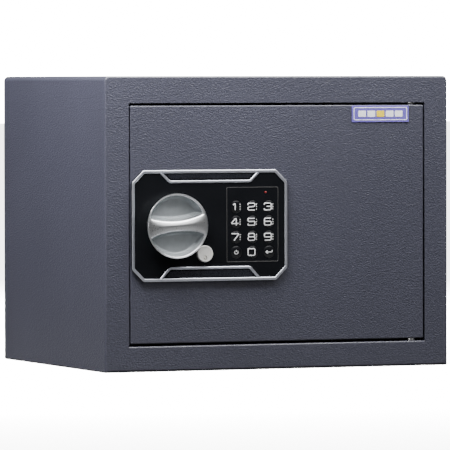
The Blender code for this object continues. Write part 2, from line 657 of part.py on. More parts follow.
def key_lock_body():
    bore, nut = PLUG_R + GAP, 0.0100
    profile = [(LOCK_R, 0.0026), (LOCK_R, -0.0033), (nut, -0.0033), (nut, -0.0058),
               (LOCK_R, -0.0058), (LOCK_R, -0.0240), (bore, -0.0240), (bore, 0.0026)]
    return turned("key_lock_body", profile, (CAP_X, FRONT, CAP_Z), TOWARDS_FRONT, ZINC, ring=True)


def lock_plug():
    profile = [(0, 0.0024), (PLUG_R, 0.0024), (PLUG_R, -0.0243), (0.0030, -0.0243),
               (0.0030, -0.0275), (0, -0.0275)]
    made = turned("lock_plug", profile, (CAP_X, FRONT, CAP_Z), TOWARDS_FRONT, BRASS)
    keyway = box_cutter((CAP_X - 0.0006, FRONT - 0.004, CAP_Z - 0.0028),
                        (CAP_X + 0.0006, FRONT + 0.012, CAP_Z + 0.0024))
    return change(made, [keyway])


def lock_cam():
    hub, reach, half = 0.006, 0.018, 0.0032
    bend = math.asin(half / hub)
    steps = 14
    outline = []
    for i in range(steps + 1):
        angle = bend + (2 * math.pi - 2 * bend) * i / steps
        outline.append((CAP_X + hub * math.cos(angle), CAP_Z + hub * math.sin(angle)))
    for i in range(7):
        angle = -math.pi / 2 + math.pi * i / 6
        outline.append((CAP_X + reach - half + half * math.cos(angle),
                        CAP_Z + half * math.sin(angle)))
    return panel("lock_cam", [outline, circle(CAP_X, CAP_Z, 0.0033)],
                 FRONT + 0.0246, FRONT + 0.0266, ZINC)


# ---------------------------------------------------------------- electronics and cover
def control_board():
    return box("control_board", (BOARD_X[0], BOARD_Y[0], BOARD_Z[0]),
               (BOARD_X[1], BOARD_Y[1], BOARD_Z[1]), BOARD_GREEN)


def buzzer():
    profile = [(0, 0.007), (0.0055, 0.007), (0.006, 0.0065), (0.006, 0), (0, 0)]
    return turned("buzzer", profile, (-0.018, BOARD_Y[1] + GAP, 0.190), TOWARDS_BACK,
                  BLACK_MATT, steps=16)


def keypad_cable():
    """Lead from the keypad board back to the control board, held at both ends."""
    x, start, end = -0.030, FRONT + 0.0036 + GAP, BOARD_Y[1] + GAP
    route = [(x, start, 0.122), (x, start + 0.005, 0.123), (x, FRONT + 0.017, 0.129),
             (x, FRONT + 0.0205, 0.141), (x, FRONT + 0.0185, 0.154),
             (x, end + 0.003, 0.160), (x, end, 0.161)]
    return tube("keypad_cable", smooth_route(route), 0.0015, BLACK_MATT)


def reset_button():
    profile = [(0, 0.0494), (0.0025, 0.0494), (0.0030, 0.0489), (0.0030, 0.0465),
               (0.0042, 0.0465), (0.0042, 0.0450), (0.0015, 0.0450), (0.0015, 0.0145), (0, 0.0145)]
    return turned("reset_button", profile, (RESET_X, FRONT, RESET_Z), TOWARDS_BACK,
                  RED_PLASTIC, steps=16)


def battery_box():
    """Tray for four cells, open towards the lid."""
    half, low, high = 2 * CELL_PITCH + 0.002, CELL_Z - 0.004, CELL_Z + CELL_LENGTH + 0.0045
    front = COVER_BACK - 0.019
    made = box("battery_box", (-half, front, low),
               (half, COVER_BACK - COVER_THICK - GAP, high), BLACK_MATT)
    wall = 0.0015
    return change(made, [box_cutter((-half + wall, front + wall, low + wall),
                                    (half - wall, COVER_BACK, high - wall))])


def batteries():
    nub = 0.0012
    profile = [(0, CELL_LENGTH + nub), (0.0027, CELL_LENGTH + nub), (0.0027, CELL_LENGTH),
               (CELL_R, CELL_LENGTH), (CELL_R, 0), (0, 0)]
    y = COVER_BACK - 0.019 + 0.0015 + CELL_R + GAP
    places = [((i - 1.5) * CELL_PITCH, y, CELL_Z) for i in range(4)]
    first = turned("battery_1", profile, places[0], UPWARDS, CELL_JACKET, steps=16)
    others = [named(f"battery_{i}", first.data, CELL_JACKET, place, UPWARDS)
              for i, place in enumerate(places[1:], 2)]
    return [first, *others]


def battery_door_size(inset):
    """Half width and height range of the battery access, made smaller by inset."""
    low, high = CELL_Z - 0.0005, CELL_Z + CELL_LENGTH + 0.002
    return 2 * CELL_PITCH - 0.001 - inset, low + inset, high - inset


def battery_lid():
    rim = 0.005
    half, low, high = battery_door_size(0)
    made = box("battery_lid", (-half - rim, COVER_BACK + GAP, low - rim),
               (half + rim, COVER_BACK + GAP + 0.0016, high + rim), BLACK_MATT, edge=0.0004)
    half, low, high = battery_door_size(0.0008)
    boss = box_cutter((-half, COVER_BACK - COVER_THICK - GAP, low),
                      (half, COVER_BACK + GAP + 0.0008, high))
    return change(made, [boss], "UNION")


def lock_cover():
    """Sheet box over the lock, open towards the door, with a screw flange above and below."""
    made = box("lock_cover", (COVER_X[0], DOOR_BACK + GAP, COVER_Z[0]),
               (COVER_X[1], COVER_BACK, COVER_Z[1]), POWDER_COAT)
    flange_height = 0.012
    flanges = [box_cutter((COVER_X[0], DOOR_BACK + GAP, low),
                          (COVER_X[1], DOOR_BACK + GAP + COVER_THICK, low + flange_height + 0.0006))
               for low in (COVER_Z[0] - flange_height, COVER_Z[1] - 0.0006)]
    change(made, flanges, "UNION")
    hollow = box_cutter((COVER_X[0] + COVER_THICK, DOOR_BACK - WALL, COVER_Z[0] + COVER_THICK),
                        (COVER_X[1] - COVER_THICK, COVER_BACK - COVER_THICK,
                         COVER_Z[1] - COVER_THICK))
    half, low, high = battery_door_size(0)
    cuts = [hollow, box_cutter((-half, COVER_BACK - 0.004, low), (half, COVER_BACK + WALL, high)),
            hole((RESET_X, COVER_BACK, RESET_Z), TOWARDS_BACK, 0.0034, -0.003, 0.002, 20)]
    cuts += [hole((COVER_X[0], BOLT_Y, z), TOWARDS_LEFT, BOLT_R + 0.0008, -0.0025, 0.0025)
             for z in bolt_heights().values()]
    cuts += [hole((x, DOOR_BACK, z), TOWARDS_BACK, 0.002, -0.001, 0.003, 16)
             for x, z in COVER_SCREWS]
    return change(made, cuts)


def cover_screws():
    head = GAP + COVER_THICK + GAP
    profile = [(0, head + 0.0022), (0.0024, head + 0.0022), (0.0036, head + 0.0012),
               (0.0036, head), (0.0017, head), (0.0017, -0.0017), (0, -0.0017)]
    first = turned("cover_screw_1", profile, (COVER_SCREWS[0][0], DOOR_BACK, COVER_SCREWS[0][1]),
                   TOWARDS_BACK, ZINC, steps=16)
    others = [named(f"cover_screw_{i}", first.data, ZINC, (x, DOOR_BACK, z), TOWARDS_BACK)
              for i, (x, z) in enumerate(COVER_SCREWS[1:], 2)]
    return [first, *others]


# ---------------------------------------------------------------- assembly
def assemble():
    cabinet_shell()
    back_panel()
    floor_mat()
    top_set, top_groove = hinge_set("top", DOOR_HIGH, OPEN_HIGH)
    bottom_set, bottom_groove = hinge_set("bottom", DOOR_LOW, OPEN_LOW)
    fixed = [door_plate([top_groove, bottom_groove]), *top_set, *bottom_set, badge(), fascia(),
             fascia_trim(), keypad_board(), status_led(), knob_bush(), bolt_guide(),
             *guide_studs(), solenoid_body(), key_lock_body(), control_board(), buzzer(),
             keypad_cable(), battery_box(), *batteries(), lock_cover(), *cover_screws()]
    key_row, lid, reset, cap = keys(), battery_lid(), reset_button(), emergency_cap()
    knob_axis = carried_by("knob_axis", (KNOB_X, FRONT, KNOB_Z),
                           [knob(), knob_spindle(), crank_plate()])
    bolt_axis = carried_by("bolt_axis", (BOLT_END_X, BOLT_Y, KNOB_Z), [bolt_carriage(), *bolts()])
    plunger_axis = carried_by("plunger_axis", (PLUNGER_X, PLUNGER_Y, PLUNGER_Z),
                              [solenoid_plunger(), solenoid_spring()])
    key_lock_axis = carried_by("key_lock_axis", (CAP_X, FRONT, CAP_Z), [lock_plug(), lock_cam()])
    carried_by("door_hinge", (HINGE_X, HINGE_Y, 0),
               [*fixed, *key_row, lid, reset, cap, knob_axis, bolt_axis, plunger_axis,
                key_lock_axis])


assemble()
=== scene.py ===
"""The looks of an in-room safe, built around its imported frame.

Refined shells, lock fascia, knob, keys and hardware with procedural materials stand on a pale floor
in soft studio light. Metres, +Z up, and someone facing the door looks along +Y.
"""

import json
import math

import bmesh
import bpy
from mathutils import Matrix, Vector


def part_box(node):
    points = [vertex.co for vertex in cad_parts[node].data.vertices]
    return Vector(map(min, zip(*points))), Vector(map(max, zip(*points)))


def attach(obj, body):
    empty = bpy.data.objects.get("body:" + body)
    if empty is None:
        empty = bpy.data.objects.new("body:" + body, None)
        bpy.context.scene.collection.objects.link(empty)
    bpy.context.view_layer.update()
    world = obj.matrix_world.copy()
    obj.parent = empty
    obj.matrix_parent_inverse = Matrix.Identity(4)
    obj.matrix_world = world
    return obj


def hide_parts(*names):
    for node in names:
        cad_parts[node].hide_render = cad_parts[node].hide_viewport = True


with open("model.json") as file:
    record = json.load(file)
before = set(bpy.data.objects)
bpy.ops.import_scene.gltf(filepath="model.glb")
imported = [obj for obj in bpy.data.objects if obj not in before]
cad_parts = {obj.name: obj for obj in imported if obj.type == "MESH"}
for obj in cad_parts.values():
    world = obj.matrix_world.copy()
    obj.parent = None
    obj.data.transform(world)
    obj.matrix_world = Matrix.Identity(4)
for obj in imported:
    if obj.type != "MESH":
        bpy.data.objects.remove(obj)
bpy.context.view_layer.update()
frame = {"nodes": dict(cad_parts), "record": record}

# ---------------------------------------------------------------- dimensions
WALL, GAP = 0.002, 0.0003                     # sheet thickness, clearance between pieces
OPENING_SIDE, OPENING_TOP = 0.0013, 0.0026    # gaps between the door and its frame
FRONT_FOLD, SILL_COVE = 0.0022, 0.0018        # bends of the front frame's edges
LIP_DEPTH, STRIKE_DEPTH = 0.013, 0.034        # returns of the front frame
ANCHOR_X, ANCHOR_R = 0.100, 0.006
BASE_ANCHOR_Y, BACK_ANCHOR_Z = 0.020, 0.150
STRIKE_R, BOLT_BORE = 0.010, 0.0088           # round the bolts in the frame and in the cover
PIN_BORE, PIN_GROOVE = 0.0034, 0.0033         # round the hinge pins in the frame and in the door
KNOB_BORE, CAP_BORE, LED_BORE = 0.0084, 0.0078, 0.0012
LID_RIM = 0.005                               # how far the battery lid laps over its opening
TRIM_RING, TRIM_LINE = 0.003, 0.0025          # widths of the silver ring and of its brackets
TRAPEZOID_OUTER, TRAPEZOID_INNER = 0.0562, 0.0440
TRAPEZOID_RISE = {"upper": 0.0118, "lower": 0.0133}
FASCIA_CHAMFER = 0.0125

KEY_R, KEY_SHOULDER, KEY_FLANGE = 0.0062, 0.0058, 0.0072
KEY_TOP, KEY_DOME, KEY_FOOT = 0.0039, 0.0004, -0.0008    # heights out of the door's face
DIGIT_HALF, ICON_HALF, MARK_HALF = 0.00050, 0.00032, 0.00034    # half widths of printed strokes
PRINT_HALF = 0.00006                          # half the print's thickness

KNOB_R, KNOB_RIM, KNOB_EYE = 0.033, 0.0313, 0.0004
KNOB_TOP, POCKET_FLOOR = 0.018, 0.008
GRIP_TILT = math.radians(4)
SHARP_ANGLE, KNOB_SHARP_ANGLE, EASE_ANGLE = 35, 70, 40   # degrees

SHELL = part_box("cabinet_shell")
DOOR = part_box("door_plate")
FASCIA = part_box("fascia")
FRONT, BACK = SHELL[0].y, SHELL[1].y
HEIGHT = SHELL[1].z
DOOR_BACK = FRONT + 0.003
OPEN_X = DOOR[1].x + OPENING_SIDE
OPEN_LOW, OPEN_HIGH = DOOR[0].z - OPENING_TOP, DOOR[1].z + OPENING_TOP
FASCIA_FRONT = FASCIA[0].y
TRIM_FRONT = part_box("fascia_trim")[0].y

LEFTWARDS, FORWARDS, BACKWARDS, UPWARDS = (-1, 0, 0), (0, -1, 0), (0, 1, 0), (0, 0, 1)
KEYS = [*(f"key_{digit}" for digit in range(1, 10)), "key_on", "key_0", "key_enter"]
BOLTS = ("bolt_upper", "bolt_lower")
SCREWS = [f"cover_screw_{i}" for i in range(1, 5)]


def middle(node):
    low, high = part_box(node)
    return (low + high) / 2


KNOB_AT, CAP_AT, LED_AT = middle("knob"), middle("emergency_cap"), middle("status_led")
PIN_AT = middle("hinge_pin_top")
FASCIA_AT = middle("fascia")


# ---------------------------------------------------------------- materials
class Look:
    """A Principled material whose texture nodes read the object's own coordinates, in metres."""

    def __init__(self, name, **sockets):
        self.material = bpy.data.materials.new(name)
        self.material.use_nodes = True
        self.tree = self.material.node_tree
        self.shader = self.tree.nodes["Principled BSDF"]
        for socket, value in sockets.items():
            self.shader.inputs[socket.replace("_", " ")].default_value = value
        self.place = self.node("TexCoord").outputs["Object"]

    def node(self, kind, inputs=None, **settings):
        made = self.tree.nodes.new("ShaderNode" + kind)
        for key, value in settings.items():
            setattr(made, key, value)
        for key, value in (inputs or {}).items():
            if isinstance(value, bpy.types.NodeSocket):
                self.tree.links.new(value, made.inputs[key])
            else:
                made.inputs[key].default_value = value
        return made

    def stretched(self, scale):
        return self.node("Mapping", {"Vector": self.place, "Scale": scale}).outputs["Vector"]

    def noise(self, size, detail=2.0, stretch=(1, 1, 1), distortion=0.0):
        """Noise whose features are about size across."""
        where = self.stretched(stretch) if stretch != (1, 1, 1) else self.place
        return self.node("TexNoise", {"Vector": where, "Scale": 1 / size, "Detail": detail,
                                      "Distortion": distortion}).outputs["Fac"]

    def cells(self, size, stretch=(1, 1, 1)):
        return self.node("TexVoronoi", {"Vector": self.stretched(stretch), "Scale": 1 / size},
                         feature="SMOOTH_F1").outputs["Distance"]

    def ramp(self, value, *stops):
        """Colours at positions along value: (position, (r, g, b)), ..."""
        made = self.node("ValToRGB", {"Fac": value})
        elements = made.color_ramp.elements
        while len(elements) < len(stops):
            elements.new(0.5)
        for element, (position, colour) in zip(elements, stops):
            element.position, element.color = position, (*colour, 1)
        return made.outputs["Color"]

    def spread(self, value, low, high, start=0.3, end=0.7):
        return self.node("MapRange", {"Value": value, "From Min": start, "From Max": end,
                                      "To Min": low, "To Max": high}).outputs["Result"]

    def add(self, a, b, share=0.5):
        """Two heights or values mixed in the shares 1 - share and share."""
        scaled = self.node("Math", {0: b, 1: share}, operation="MULTIPLY").outputs[0]
        return self.node("Math", {0: a, 1: 1 - share, 2: scaled},
                         operation="MULTIPLY_ADD").outputs[0]

    def tinted(self, base, tint):
        return self.node("MixRGB", {"Fac": 1.0, "Color1": base, "Color2": tint},
                         blend_type="MULTIPLY").outputs["Color"]

    def bump(self, height, depth, strength):
        made = self.node("Bump", {"Height": height, "Distance": depth, "Strength": strength})
        self.set("Normal", made.outputs["Normal"])

    def set(self, socket, value):
        self.tree.links.new(value, self.shader.inputs[socket])


def grey(value, blue=1.0):
    return (value, value, value * blue)


def powder_coat():
    """Graphite powder coat: a leathery skin, a little uneven in colour and gloss."""
    look = Look("textured_powder_coat", Specular_IOR_Level=0.6, Coat_Weight=0.4,
                Coat_Roughness=0.2)
    skin = look.noise(0.0016, 2.5, (0.7, 0.7, 1.3), 0.5)
    lumps = look.cells(0.0014, (0.75, 0.75, 1.25))
    speckle = look.noise(0.0009, 1.0)
    clouds = look.noise(0.12, 2.0)
    fine = look.ramp(speckle, (0.3, (0.036, 0.0365, 0.052)), (0.7, (0.055, 0.0560, 0.079)))
    broad = look.ramp(clouds, (0.3, (0.90, 0.90, 0.90)), (0.7, (1.0, 1.0, 1.0)))
    look.set("Base Color", look.tinted(fine, broad))
    look.set("Roughness", look.spread(skin, 0.30, 0.42))
    look.bump(look.add(skin, lumps, 0.45), 0.0008, 0.8)
    return look.material


def felt():
    """Pressed grey felt: short fibres that lie mostly one way, in soft clumps."""
    look = Look("pressed_felt", Roughness=0.95, Sheen_Weight=0.35, Sheen_Roughness=0.5)
    fibre = look.noise(0.0005, 4.0, (1, 0.35, 1), 1.2)
    clump = look.noise(0.006, 3.0)
    colour = look.ramp(look.add(fibre, clump, 0.35), (0.3, grey(0.030, 1.1)),
                       (0.7, grey(0.085, 1.06)))
    look.set("Base Color", colour)
    look.bump(look.add(fibre, clump, 0.3), 0.0006, 0.8)
    return look.material


def metal(name, dark, light, low, high, grain=0.0009, stretch=(1, 1, 1)):
    """A metal whose fine grain, drawn out along the axes with a small stretch, varies the gloss."""
    look = Look(name, Metallic=1.0)
    fine = look.noise(grain, 3.0, stretch)
    broad = look.noise(0.02, 2.0)
    both = look.add(fine, broad, 0.4)
    look.set("Base Color", look.ramp(both, (0.35, dark), (0.65, light)))
    look.set("Roughness", look.spread(both, low, high))
    look.bump(fine, 0.00002, 0.5)
    return look.material


def zinc():
    """Zinc plate with the pale crystal patches that such plating has."""
    look = Look("zinc_plate", Metallic=1.0)
    patches = look.cells(0.007)
    fine = look.noise(0.0008, 3.0)
    mixed = look.add(patches, fine, 0.4)
    look.set("Base Color", look.ramp(mixed, (0.2, (0.46, 0.47, 0.48)), (0.7, (0.70, 0.70, 0.68))))
    look.set("Roughness", look.spread(mixed, 0.30, 0.46))
    look.bump(fine, 0.00002, 0.4)
    return look.material


def plastic(name, dark, light, low, high, size=0.0007, depth=0.00003, **sockets):
    """Moulded plastic with a fine spark-eroded grain and faint flow clouds."""
    look = Look(name, **sockets)
    grain = look.noise(size, 2.0)
    flow = look.noise(0.03, 3.0)
    look.set("Base Color", look.ramp(look.add(grain, flow, 0.5), (0.3, dark), (0.7, light)))
    look.set("Roughness", look.spread(grain, low, high))
    look.bump(grain, depth, 0.5)
    return look.material


def sandblasted():
    """Matt chrome over a sand-blasted casting."""
    look = Look("sand_blasted_chrome", Metallic=1.0)
    grain = look.noise(0.0005, 4.0)
    cloud = look.noise(0.006, 3.0)
    mixed = look.add(grain, cloud, 0.4)
    look.set("Base Color", look.ramp(mixed, (0.3, (0.36, 0.385, 0.40)), (0.7, (0.50, 0.53, 0.55))))
    look.set("Roughness", look.spread(grain, 0.60, 0.74))
    look.bump(grain, 0.00008, 0.6)
    return look.material


def circuit_board():
    """Green solder mask with paler copper tracks that run along X and Z."""
    look = Look("circuit_board", Coat_Weight=0.4, Coat_Roughness=0.2)
    tracks = look.node("TexBrick", {
        "Vector": look.stretched((1, 0.001, 1)), "Scale": 110.0, "Mortar Size": 0.012,
        "Color1": (0.010, 0.085, 0.032, 1), "Color2": (0.014, 0.105, 0.042, 1),
        "Mortar": (0.05, 0.20, 0.09, 1)}).outputs["Color"]
    weave = look.noise(0.0008, 2.0)
    shade = look.ramp(weave, (0.3, grey(0.8)), (0.7, grey(1.0)))
    look.set("Base Color", look.tinted(tracks, shade))
    look.set("Roughness", look.spread(weave, 0.35, 0.5))
    look.bump(weave, 0.00003, 0.5)
    return look.material


def cell_jacket():
    """Printed battery sleeve: a dark jacket with a plain copper-coloured upper band."""
    look = Look("cell_sleeve", Coat_Weight=0.6, Coat_Roughness=0.15)
    height = look.node("SeparateXYZ", {"Vector": look.place}).outputs["Z"]
    low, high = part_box("battery_1")
    share = look.spread(height, 0.0, 1.0, low.z, high.z)
    scuff = look.noise(0.002, 3.0)
    bands = look.ramp(share, (0.68, (0.012, 0.014, 0.018)), (0.70, (0.42, 0.20, 0.07)))
    worn = look.ramp(scuff, (0.3, grey(0.75)), (0.6, grey(1.0)))
    look.set("Base Color", look.tinted(bands, worn))
    look.set("Roughness", look.spread(scuff, 0.28, 0.42))
    return look.material


LOOKS = {
    "powder_coat": powder_coat(),
    "felt": felt(),
    "zinc": zinc(),
    "bright_steel": metal("ground_steel", (0.56, 0.56, 0.57), (0.74, 0.74, 0.75), 0.20, 0.34,
                          0.0006, (0.08, 1, 1)),
    "black_gloss": plastic("black_gloss_plastic", (0.0035, 0.004, 0.005), (0.006, 0.0065, 0.008),
                           0.28, 0.36, 0.0009, 0.00001, Specular_IOR_Level=0.12),
    "black_matt": plastic("black_matt_plastic", grey(0.012), grey(0.024), 0.48, 0.62),
    "silver_trim": metal("silver_trim", (0.70, 0.72, 0.80), (0.84, 0.86, 0.94), 0.34, 0.44),
    "satin_chrome": metal("satin_chrome", (0.80, 0.81, 0.83), (0.92, 0.93, 0.95), 0.26, 0.34),
    "brass": metal("turned_brass", (0.55, 0.37, 0.13), (0.78, 0.56, 0.26), 0.24, 0.38),
    "circuit_board": circuit_board(),
    "red_lens": plastic("red_lens", (0.22, 0.008, 0.008), (0.30, 0.014, 0.014), 0.10, 0.2,
                        Coat_Weight=0.5),
    "red_plastic": plastic("red_plastic", (0.42, 0.018, 0.016), (0.56, 0.03, 0.028), 0.30, 0.42),
    "cream_plastic": plastic("cream_plastic", (0.80, 0.79, 0.74), (0.88, 0.87, 0.83), 0.32, 0.44),
    "badge_print": plastic("violet_enamel_plate", (0.11, 0.085, 0.36), (0.15, 0.12, 0.43),
                           0.20, 0.32, Coat_Weight=0.5, Coat_Roughness=0.1),
    "cell_jacket": cell_jacket(),
}
SANDBLASTED = sandblasted()
KEY_GLOSS = plastic("black_key_plastic", (0.0045, 0.005, 0.006), (0.008, 0.0085, 0.010),
                    0.12, 0.2, 0.0009, 0.00001, Coat_Weight=0.6, Coat_Roughness=0.08)
INLAY = plastic("blue_black_inlay", (0.007, 0.008, 0.011), (0.012, 0.013, 0.018), 0.24, 0.34)
LINE_PRINT = plastic("grey_line_print", grey(0.030), grey(0.046), 0.40, 0.55)
WHITE_PRINT = plastic("white_key_print", grey(0.66), grey(0.80), 0.35, 0.48)
BADGE_PALE = plastic("badge_white_enamel", (0.72, 0.72, 0.78), (0.84, 0.84, 0.90), 0.20, 0.32)
BADGE_GOLD = plastic("badge_yellow_enamel", (0.72, 0.52, 0.015), (0.84, 0.64, 0.04), 0.20, 0.32)


# ---------------------------------------------------------------- shape tools
def finished(name, shape, *looks):
    """Turns a bmesh into an object that is smooth except across its sharp edges."""
    bmesh.ops.recalc_face_normals(shape, faces=shape.faces)
    mesh = bpy.data.meshes.new(name)
    shape.to_mesh(mesh)
    shape.free()
    for look in looks:
        mesh.materials.append(look)
    made = bpy.data.objects.new(name, mesh)
    bpy.context.scene.collection.objects.link(made)
    return shaded(made)


def shaded(made, sharp=SHARP_ANGLE):
    made.data.shade_smooth()
    made.data.set_sharp_from_angle(angle=math.radians(sharp))
    return made


def applied(made):
    """Bakes an object's modifiers into its mesh."""
    bpy.context.view_layer.update()
    result = made.evaluated_get(bpy.context.evaluated_depsgraph_get())
    mesh = bpy.data.meshes.new_from_object(result)
    made.modifiers.clear()
    made.data = mesh
    return shaded(made)


def boolean(made, others, operation="DIFFERENCE"):
    """Cuts the other shapes out of a piece, or joins them to it, and removes them."""
    for other in others:
        step = made.modifiers.new("step", "BOOLEAN")
        step.operation, step.object, step.solver = operation, other, "EXACT"
    applied(made)
    for other in others:
        bpy.data.objects.remove(other, do_unlink=True)
    return made


def flattened(made):
    """Keeps a piece's flat faces flat under smooth shading."""
    weight = made.modifiers.new("flat_faces", "WEIGHTED_NORMAL")
    weight.keep_sharp, weight.weight = True, 80
    return applied(made)


def eased(made, width, steps=2):
    """Rounds a piece's edges."""
    bevel = made.modifiers.new("ease", "BEVEL")
    bevel.width, bevel.segments, bevel.limit_method = width, steps, "ANGLE"
    bevel.angle_limit = math.radians(EASE_ANGLE)
    bevel.use_clamp_overlap, bevel.miter_outer = True, "MITER_ARC"
    return flattened(applied(made))


def slab(low, high, edge=0.0, steps=3, chosen=None):
    """A bmesh box between two corners, with its edges, or the chosen ones, rounded."""
    low, high = Vector(low), Vector(high)
    shape = bmesh.new()
    place = Matrix.Translation((low + high) / 2) @ Matrix.Diagonal((*(high - low), 1))
    bmesh.ops.create_cube(shape, size=1, matrix=place)
    if edge:
        edges = [e for e in shape.edges if chosen is None or chosen(e)]
        bmesh.ops.bevel(shape, geom=edges, offset=edge, segments=steps, affect="EDGES",
                        profile=0.5)
    return shape


def cutter(low, high):
    return finished("cutter", slab(low, high))


def along(edge, axis):
    """True when a bmesh edge runs along an axis: 0, 1 or 2."""
    run = edge.verts[0].co - edge.verts[1].co
    return abs(run[axis]) > 0.9 * run.length


def lathe(profile, place, axis, steps=48):
    """A turned bmesh: (radius, height) points along its section, height measured along axis."""
    shape = bmesh.new()
    turn = Vector(axis).to_track_quat("Z", "Y").to_matrix().to_4x4()
    where = Matrix.Translation(place) @ turn
    rings = []
    for radius, height in profile:
        count = steps if radius > 1e-7 else 1
        angles = [2 * math.pi * i / steps for i in range(count)]
        rings.append([shape.verts.new(where @ Vector((radius * math.cos(a),
                                                      radius * math.sin(a), height)))
                      for a in angles])
    for lower, upper in zip(rings, rings[1:]):
        for i in range(steps):
            j = (i + 1) % steps
            corners = [lower[i % len(lower)], lower[j % len(lower)],
                       upper[j % len(upper)], upper[i % len(upper)]]
            corners = list(dict.fromkeys(corners))
            if len(corners) > 2:
                shape.faces.new(corners)
    return shape


def drill(place, axis, radius, start, end, steps=40):
    """A round cutter that runs from start to end along an axis through place."""
    profile = [(0, start), (radius, start), (radius, end), (0, end)]
    return finished("drill", lathe(profile, place, axis, steps))


def soften(points, radius, closed=False, steps=4):
    """Rounds the corners of a line or polygon with arcs, no larger than its sides allow."""
    points = [Vector(p) for p in points]
    made = []
    for i, here in enumerate(points):
        if not closed and i in (0, len(points) - 1):
            made.append(here)
            continue
        back, ahead = points[i - 1] - here, points[(i + 1) % len(points)] - here
        half = back.angle(ahead) / 2
        if half > math.radians(88):
            made.append(here)
            continue
        reach = min(radius / math.tan(half), 0.48 * back.length, 0.48 * ahead.length)
        bend = reach * math.tan(half)
        back, ahead = back.normalized(), ahead.normalized()
        centre = here + (back + ahead).normalized() * bend / math.sin(half)
        start, end = here + back * reach - centre, here + ahead * reach - centre
        made += [centre + start.lerp(end, k / steps).normalized() * bend
                 for k in range(steps + 1)]
    return made


def loft(loops, closed=False):
    """A bmesh skin over 3-D loops with the same count of points: a ring if closed, else capped."""
    shape = bmesh.new()
    rows = [[shape.verts.new(point) for point in loop] for loop in loops]
    pairs = list(zip(rows, rows[1:])) + ([(rows[-1], rows[0])] if closed else [])
    for lower, upper in pairs:
        for i in range(len(lower)):
            j = (i + 1) % len(lower)
            shape.faces.new((lower[i], lower[j], upper[j], upper[i]))
    if not closed:
        shape.faces.new(rows[0])
        shape.faces.new(rows[-1])
    return shape


def prism(outline, front, back):
    """A bmesh plate with a flat outline in X and Z."""
    return loft([[(x, y, z) for x, z in outline] for y in (front, back)])


def ribbon(path, half_width, front, back, edge=0.0, closed=False, ends=None):
    """A bmesh strip along a flat path in X and Z, with mitred bends and eased front edges."""
    path = [Vector(p) for p in path]
    count = len(path)
    loops = []
    for i, here in enumerate(path):
        before = path[i - 1] if closed or i else None
        after = path[(i + 1) % count] if closed or i < count - 1 else None
        runs = [v.normalized() for v in (here - before if before else None,
                                         after - here if after else None) if v]
        normals = [Vector((-run.y, run.x)) for run in runs]
        side = sum(normals, Vector((0, 0))).normalized()
        side = side * half_width / max(side.dot(normals[0]), 0.2)
        if ends and i in (0, count - 1):
            side = Vector(ends) * half_width / abs(normals[0].dot(Vector(ends)))
            side = side if side.dot(normals[0]) > 0 else -side
        inner = side * (1 - edge / half_width)
        loops.append([(here.x + s.x, y, here.y + s.y) for s, y in (
            (side, back), (side, front + edge), (inner, front), (-inner, front),
            (-side, front + edge), (-side, back))])
    return loft(loops, closed=closed)


def quarter(steps):
    """Angles from 0 to a right angle."""
    return [math.pi / 2 * k / steps for k in range(steps + 1)]


def rides(made, body, slot, *nodes):
    """Puts a piece on its body and hides the frame's parts that it stands for; the slot argument is
    not used.
    """
    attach(made, body)
    if nodes:
        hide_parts(*nodes)
    return made


# ---------------------------------------------------------------- cabinet
def cabinet_block():
    """The closed body: soft upper corners, tight lower ones and a folded front edge."""
    shape = slab(*SHELL)
    for high, radius in ((True, 0.005), (False, 0.0015)):
        corners = [e for e in shape.edges if along(e, 1)
                   and (e.verts[0].co.z > HEIGHT / 2) == high]
        bmesh.ops.bevel(shape, geom=corners, offset=radius, segments=8, affect="EDGES",
                        profile=0.5)
    face = min(shape.faces, key=lambda f: f.calc_center_median().y)
    bmesh.ops.bevel(shape, geom=list(face.edges), offset=FRONT_FOLD, segments=6,
                    affect="EDGES", profile=0.5)
    return finished("folded_cabinet_body", shape, LOOKS["powder_coat"])


def cabinet_hollow():
    """A cutter for the room inside, which leaves the returns of the front frame."""
    inside_x = SHELL[1].x - WALL
    frame_x, frame_low, frame_high = OPEN_X + WALL, OPEN_LOW - WALL, OPEN_HIGH + WALL
    hollow = cutter((-inside_x, FRONT + WALL, WALL), (inside_x, BACK + WALL, HEIGHT - WALL))
    lips = cutter((-frame_x, FRONT, frame_low), (frame_x, FRONT + LIP_DEPTH, frame_high))
    strike = cutter((-frame_x, FRONT, frame_low),
                    (-OPEN_X + WALL, FRONT + STRIKE_DEPTH, frame_high))
    return boolean(hollow, [lips, strike])


def sill_cutter():
    """A cutter that rounds the door opening's lower edge."""
    corner = [(FRONT - WALL, OPEN_LOW + WALL), (FRONT - WALL, OPEN_LOW - SILL_COVE)]
    corner += [(FRONT + SILL_COVE * (1 - math.cos(a)), OPEN_LOW - SILL_COVE * (1 - math.sin(a)))
               for a in quarter(6)]
    corner.append((FRONT + SILL_COVE, OPEN_LOW + WALL))
    half = OPEN_X + GAP
    return finished("cutter", loft([[(x, y, z) for y, z in corner] for x in (-half, half)]))


